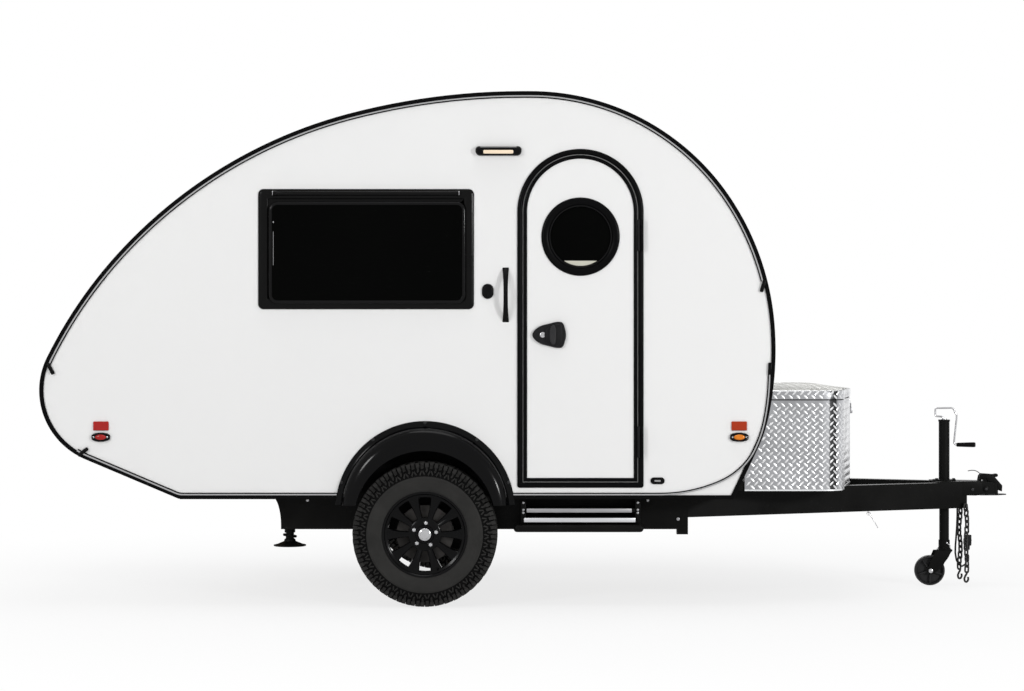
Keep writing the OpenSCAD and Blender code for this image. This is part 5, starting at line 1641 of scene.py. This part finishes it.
def makeCoupler():
    bm = bmesh.new()
    # wings on the drawbars, then the two cheeks of the lever
    for s in (-1, 1):
        plate = bmesh.new()
        plateShape(plate, couplerShape["wing"], 0.0, 0.006, 0.0015, sharp=True)
        merged(bm, placed(plate, Matrix.Translation((0, s * couplerShape["wingY"] + 0.003, 0))))
    for y in (-0.014, 0.022):
        plateShape(bm, couplerShape["lever"], y, 0.008, 0.002, sharp=True)
    rodShape(bm, (2.352, 0, 0.585), 0.009, 0.036, segments=24, bevel=0.002)
    rodShape(bm, couplerShape["pivot"], 0.016, 0.104, segments=32, bevel=0.003)
    boxShape(bm, (2.385, -0.022, 0.578), (2.402, 0.022, 0.592), 0.004)
    addPiece(bm, "coupler_lever", "trailer", "black_frame", smooth=40)
    bm = bmesh.new()
    pipeShape(bm, [(x, -0.012, z) for x, z in couplerShape["wire"]], 0.0022)
    rodShape(bm, couplerShape["pivot"], 0.0075, 0.118, segments=6, bevel=0.001)
    for x0, x1 in ((2.308, 2.350), (2.361, 2.402)):
        boxShape(bm, (x0, -0.0625, 0.485), (x1, -0.058, 0.4895), 0.001)
    for dx, dy in ((-0.045, -0.03), (0.045, -0.03), (0.0, 0.052)):
        rodShape(bm, (2.144 + dx, dy, 0.568), 0.0085, 0.008, axis="Z", segments=6, bevel=0.001)
    for s in (-1, 1):
        for x in (2.20, 2.28):
            rodShape(bm, (x, s * 0.0795, 0.515), 0.0085, 0.007, segments=6, bevel=0.001)
    addPiece(bm, "coupler_bolts", "trailer", "paddle_grey", smooth=40)


jackShape = {
    # route of the crank, from the tube's top: x and z
    "crank": ((-0.004, -0.002), (-0.004, 0.010), (-0.012, 0.016), (-0.045, 0.018), (-0.047, 0.030), (-0.047, 0.061),
              (0.040, 0.062), (0.052, 0.056), (0.058, 0.038), (0.067, 0.028), (0.066, 0.0), (0.056, -0.09),
              (0.053, -0.125), (0.062, -0.134), (0.07, -0.134)),
    "grip": ((0.0, 0.0), (0.009, 0.0), (0.0105, 0.003), (0.0115, 0.03), (0.0128, 0.07), (0.0133, 0.094),
             (0.0115, 0.0995), (0.0, 0.1)),
    "race": ((0.0, 0.0), (0.036, 0.0), (0.039, 0.003), (0.039, 0.0065), (0.034, 0.009), (0.0325, 0.0145),
             (0.0, 0.0145)),
    "raceZ": 0.186,
}


def makeJack():
    low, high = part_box("jack_leg")
    x, foot, top = (low[0] + high[0]) / 2, low[2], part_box("jack_tube")[1][2]
    bm = bmesh.new()
    route = [(x + dx, 0, top + dz) for dx, dz in jackShape["crank"]]
    pipeShape(bm, rounded(route, 0.009, 4), 0.0048, smooth=False, sides=4)
    rodShape(bm, (x, 0, top + 0.002), 0.014, 0.008, axis="Z", segments=24, bevel=0.001)
    addPiece(bm, "crank_rod", "trailer", "bright_metal", smooth=50, replaced=("jack_crank",))
    bm = bmesh.new()
    latheShape(bm, (x + 0.066, 0, top - 0.134), jackShape["grip"], axis="X", steps=32)
    addPiece(bm, "crank_grip", "trailer", "seal_rubber", smooth=50)
    # pin through the leg's collar, and the swivel's race
    bm = bmesh.new()
    rodShape(bm, (x + 0.008, -0.031, foot + 0.026), 0.0045, 0.012, segments=16, bevel=0.001)
    pipeShape(bm, [(x + 0.008, -0.034, foot + 0.026), (x + 0.018, -0.036, foot + 0.018),
                   (x + 0.028, -0.034, foot + 0.008)], 0.0022)
    addPiece(bm, "leg_pin", "jack_leg", "bright_metal", smooth=40)
    bm = bmesh.new()
    latheShape(bm, (x, 0, jackShape["raceZ"]), jackShape["race"], axis="Z", steps=40)
    addPiece(bm, "swivel_race", "caster_fork", "black_frame")


casterShape = {
    "ribs": 5,
    "ribWidth": 0.007,
    # outline of the broad cheek on each side of the fork, as x and z
    "cheek": ((2.092, 0.186), (2.178, 0.186), (2.160, 0.150), (2.140, 0.123), (2.128, 0.098), (2.082, 0.065),
              (2.064, 0.060), (2.051, 0.074), (2.060, 0.112)),
}

def makeCaster():
    low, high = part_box("caster_wheel")
    x, z, r = (low[0] + high[0]) / 2, (low[2] + high[2]) / 2, (high[2] - low[2]) / 2
    w = (high[1] - low[1]) / 2
    centre = (x, 0, z)
    bm = bmesh.new()
    half = [(0.0085, -w), (0.019, -w), (0.021, -w + 0.002), (0.021, -0.004), (r - 0.016, -0.004),
            (r - 0.013, -w + 0.003), (r - 0.010, -w), (r - 0.005, -w + 0.002), (r - 0.0005, -w + 0.009)]
    profile = half + [(r, 0.0)] + [(out, -along) for out, along in reversed(half)]
    latheShape(bm, centre, profile, steps=72, closed=True)
    ribHalf = casterShape["ribWidth"] / 2
    for i in range(casterShape["ribs"]):
        rib = bmesh.new()
        boxShape(rib, (x - ribHalf, -w + 0.002, z - r + 0.014), (x + ribHalf, w - 0.002, z - 0.018))
        bmesh.ops.rotate(rib, verts=rib.verts, cent=centre,
                         matrix=Matrix.Rotation(math.tau * i / casterShape["ribs"], 3, "Y"))
        merged(bm, rib)
    addPiece(bm, "caster_tread", "caster_wheel", "caster_plastic", replaced=("caster_wheel",))
    bm = bmesh.new()
    plateShape(bm, casterShape["cheek"], -0.0331, 0.0022, 0.0005, sharp=True)
    merged(bm, mirrored(bm))
    addPiece(bm, "fork_cheeks", "caster_fork", "black_frame")
    bm = bmesh.new()
    for s in (-1, 1):
        rodShape(bm, (x, s * 0.0385, z), 0.0125, 0.006, segments=6, bevel=0.001)
        rodShape(bm, (x, s * 0.0415, z), 0.0075, 0.004, segments=20, bevel=0.001)
    addPiece(bm, "caster_nuts", "caster_fork", "bright_metal", smooth=40)

chainShape = {
    "length": 0.048, "width": 0.0315, "wire": 0.0049, "links": 12, "sway": 0.004,
    "hook": ((0, 0.014), (0.002, 0.004), (-0.006, -0.012), (-0.010, -0.030), (-0.002, -0.042), (0.009, -0.032),
             (0.009, -0.016)),
    # pull pin that hangs under the right drawbar, and its ring
    "pin": ((1.700, -0.225, 0.418), (1.707, -0.226, 0.400), (1.714, -0.226, 0.392), (1.755, -0.226, 0.323)),
    "ring": ((1.697, -0.226, 0.399), (1.705, -0.226, 0.391), (1.715, -0.226, 0.397), (1.707, -0.226, 0.406)),
}


def linkShape():
    bm = bmesh.new()
    half = chainShape["length"] / 2 - chainShape["wire"]
    w = chainShape["width"] / 2 - chainShape["wire"]
    points = []
    for i in range(16):
        a = math.tau * i / 16
        points.append((w * math.cos(a), 0, (half - w) * (1 if math.sin(a) > 0 else -1) + w * math.sin(a)))
    pipeShape(bm, points, chainShape["wire"], smooth=False, closed=True, sides=2)
    return bm


def makeChains():
    low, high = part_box("safety_chains")
    x = (low[0] + high[0]) / 2
    link = linkShape()
    pitch = chainShape["length"] - 4 * chainShape["wire"] + 0.0012
    for side, s in (("right", -1), ("left", 1)):
        bm = bmesh.new()
        y = s * (high[1] - 0.011)
        top = high[2] - 0.024
        for i in range(chainShape["links"]):
            z = top - i * pitch
            turn = Matrix.Rotation(math.radians(35 + 90 * (i % 2) + random.uniform(-9, 9)), 4, "Z")
            lean = Matrix.Rotation(math.radians(random.uniform(-5, 5)), 4, "Y")
            copy = link.copy()
            sway = chainShape["sway"] * math.sin(i * 0.9 + s)
            placed(copy, Matrix.Translation((x + sway, y, z)) @ turn @ lean)
            merged(bm, copy)
        # shackle at the top, hook at the bottom
        pipeShape(bm, [(x, s * 0.071, top + 0.016), (x, y - s * 0.003, top + 0.019), (x, y + s * 0.006, top + 0.010),
                       (x, y, top - 0.001), (x, s * 0.073, top + 0.004)], 0.005)
        z = top - chainShape["links"] * pitch + 0.004
        pipeShape(bm, [(x + dx, y, z + dz) for dx, dz in chainShape["hook"]], 0.0055)
        for v in bm.verts:
            v.co.z = max(v.co.z, low[2] + 0.0005)
        addPiece(bm, "chain_links_" + side, "trailer", "chain_steel", smooth=50,
                 replaced=("safety_chains",) if side == "right" else ())
    link.free()
    bm = bmesh.new()
    pipeShape(bm, chainShape["pin"], 0.0024)
    pipeShape(bm, chainShape["ring"], 0.0016, closed=True)
    addPiece(bm, "pull_pin", "trailer", "bright_metal", smooth=50)


leadShape = {
    "start": (2.223, 0.045, 0.4078),
    "radius": 0.005,
    "route": ((0, 0, 0), (0, 0, -0.04), (-0.002, 0.002, -0.1), (-0.006, 0.003, -0.16), (-0.009, 0.004, -0.2),
              (-0.010, 0.004, -0.24), (-0.004, 0.004, -0.278), (0.008, 0.004, -0.302), (0.026, 0.004, -0.312),
              (0.043, 0.004, -0.302), (0.053, 0.004, -0.276), (0.056, 0.004, -0.246), (0.056, 0.004, -0.224)),
}


def makeLead():
    start = Vector(leadShape["start"])
    route = [start + Vector(p) for p in leadShape["route"]]
    bm = bmesh.new()
    pipeShape(bm, route, leadShape["radius"] - 0.0001, smooth=False, sides=4)
    lead = addPiece(bm, "lead_jacket", "trailer", "cable_rubber", smooth=60, replaced=("light_cable",))
    low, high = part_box("light_plug")
    x, y, z = (low[0] + high[0]) / 2, (low[1] + high[1]) / 2, low[2]
    bm = bmesh.new()
    latheShape(bm, (x, y, z), [(0.0, 0.0002), (0.0095, 0.0002), (0.0115, 0.003), (0.0118, 0.02), (0.019, 0.024),
                               (0.0205, 0.030), (0.0205, 0.045), (0.0215, 0.047), (0.0215, 0.053), (0.0205, 0.055),
                               (0.0205, 0.076), (0.019, 0.0795), (0.015, 0.0795), (0.0145, 0.070), (0.0, 0.070)],
               axis="Z", steps=40)
    for i in range(8):
        a = math.tau * i / 8
        gripX, gripY = x + 0.0195 * math.cos(a), y + 0.0195 * math.sin(a)
        boxShape(bm, (gripX - 0.0012, gripY - 0.0012, z + 0.031), (gripX + 0.0012, gripY + 0.0012, z + 0.044), 0.0005)
    boxShape(bm, (x - 0.006, y - 0.0218, z + 0.058), (x + 0.006, y - 0.018, z + 0.078), 0.001)
    plug = addPiece(bm, "plug_body", "trailer", "plug_plastic", smooth=40, replaced=("light_plug",))
    print("chains and lead made")


ventShape = {
    "back": 0.300, "lidFoot": 0.019, "lidRise": 0.037, "taper": 0.08, "ridges": 3,
    # neck, flange and rim: half width, foot, top, rounding
    "base": ((0.175, -0.038, 0.0, 0), (0.194, -0.0043, 0.006, 0.003), (0.186, 0.004, 0.017, 0.004)),
}


def makeVent():
    radius = outline["rear"][0][0]
    lean = math.asin(ventShape["back"] / radius)
    place = (Matrix.Translation((crownX - outline["flat"], 0, roofZ - radius)) @ Matrix.Rotation(-lean, 4, "Y")
             @ Matrix.Translation((0, 0, radius)))
    bm = bmesh.new()
    for half, z0, z1, bevel in ventShape["base"]:
        boxShape(bm, (-half, -half, z0), (half, half, z1), bevel)
    addPiece(placed(bm, place), "vent_base", "trailer", "vent_plastic", smooth=40, replaced=("roof_vent",))
    bm = bmesh.new()
    foot = ventShape["lidFoot"]
    boxShape(bm, (-0.184, -0.184, foot), (0.184, 0.184, 0.056), 0.014, segments=4)
    for v in bm.verts:
        narrower = 1 - ventShape["taper"] * max(0, (v.co.z - foot) / ventShape["lidRise"])
        v.co.x *= narrower
        v.co.y *= narrower
    for k in range(-ventShape["ridges"], ventShape["ridges"] + 1):
        boxShape(bm, (-0.14, k * 0.042 - 0.006, 0.055), (0.14, k * 0.042 + 0.006, 0.0578), 0.001)
    addPiece(placed(bm, place), "vent_lid", "trailer", "vent_plastic", smooth=40)


cabinShape = {"crown": 0.012, "piping": 0.004, "innerEdge": 0.665, "cupboards": 4}


# a seat cushion: a box subdivided and crowned; makeCabin lays the piping along its edges
def cushionForm(low, high):
    bm = bmesh.new()
    boxShape(bm, low, high)
    bmesh.ops.bevel(bm, geom=list(bm.edges), offset=0.022, segments=4, profile=0.5, affect="EDGES", material=-1)
    long = [e for e in bm.edges if e.calc_length() > 0.1]
    bmesh.ops.subdivide_edges(bm, edges=long, cuts=9, use_grid_fill=True)
    bmesh.ops.triangulate(bm, faces=[f for f in bm.faces if len(f.verts) > 4])
    mid = (Vector(low) + Vector(high)) / 2
    size = (Vector(high) - Vector(low)) / 2
    for v in bm.verts:
        u, w = (v.co.x - mid.x) / size.x, (v.co.y - mid.y) / size.y
        edge = (1 - u ** 4) * (1 - w ** 4)
        if v.co.z > mid.z:
            v.co.z -= cabinShape["crown"] * (1 - edge)
            v.co.z -= 0.0022 * (1 + math.sin(u * 9 + w * 3)) * edge
    return bm


def makeCabin():
    low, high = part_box("bench_cushions")
    inner = cabinShape["innerEdge"]
    first = True
    for s in (-1, 1):
        bm = cushionForm((low[0] + 0.002, s * inner if s > 0 else low[1], low[2] + 0.001),
                         (high[0] - 0.002, high[1] if s > 0 else s * inner, high[2]))
        cushion = addPiece(bm, "bench_cushion_" + ("left" if s > 0 else "right"), "trailer", "cushion_cloth",
                           smooth=50, replaced=("bench_cushions",) if first else ())
        first = False
        bm = bmesh.new()
        y0, y1 = (inner, high[1]) if s > 0 else (low[1], -inner)
        for z in (low[2] + 0.018, high[2] - 0.024):
            x0, x1, near, far = low[0] + 0.008, high[0] - 0.008, y0 + 0.006, y1 - 0.006
            corners = [(x0, near, z), (x1, near, z), (x1, far, z), (x0, far, z), (x0, near, z)]
            pipeShape(bm, rounded(corners, 0.03, 4), cabinShape["piping"], smooth=False, sides=2)
        addPiece(bm, "cushion_piping", "trailer", "seal_rubber", smooth=60)
    # doors and knobs on the galley's rear face
    low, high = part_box("galley_cabinet")
    x = low[0]
    bm = bmesh.new()
    knobs = bmesh.new()
    step = (high[1] - low[1]) / cabinShape["cupboards"]
    for i in range(cabinShape["cupboards"]):
        y0, y1 = low[1] + i * step + 0.012, low[1] + (i + 1) * step - 0.012
        for z0, z1 in ((low[2] + 0.03, low[2] + 0.56), (low[2] + 0.58, high[2] - 0.03)):
            boxShape(bm, (x - 0.012, y0, z0), (x + 0.002, y1, z1), 0.004)
            rodShape(knobs, (x - 0.02, (y0 + y1) / 2, z1 - 0.05), 0.009, 0.018, axis="X", segments=20, bevel=0.003)
    addPiece(bm, "galley_doors", "trailer", "cabinet_wood", smooth=40)
    addPiece(knobs, "galley_knobs", "trailer", "zinc", smooth=40)
    print("cabin made")


makeMaterials()
makeCamera()
makeLamps()
makeWorld()
makeGround()
makePanels()
makeEdges()
makeDoor()
makeLeaf()
makeHandle()
makePorchLight()
makeSideFittings()
makeSideLamps()
makeTailLamps()
for side in ("right", "left"):
    makeSideWindow(side)
makeRearWindow()
makeMudguards()
makeTyre()
makeRim()
makeStep()
makeStabilizers()
makeBox()
makeCoupler()
makeJack()
makeCaster()
makeChains()
makeLead()
makeVent()
makeCabin()
# CAD nodes that stay as they are take the finish of their slot
def finishFrameNodes():
    for name, node in frame["nodes"].items():
        for slot in node.material_slots:
            slot.material = materials.get(nodeSlots[name])


finishFrameNodes()

scene = bpy.context.scene
scene.view_settings.view_transform = "Standard"
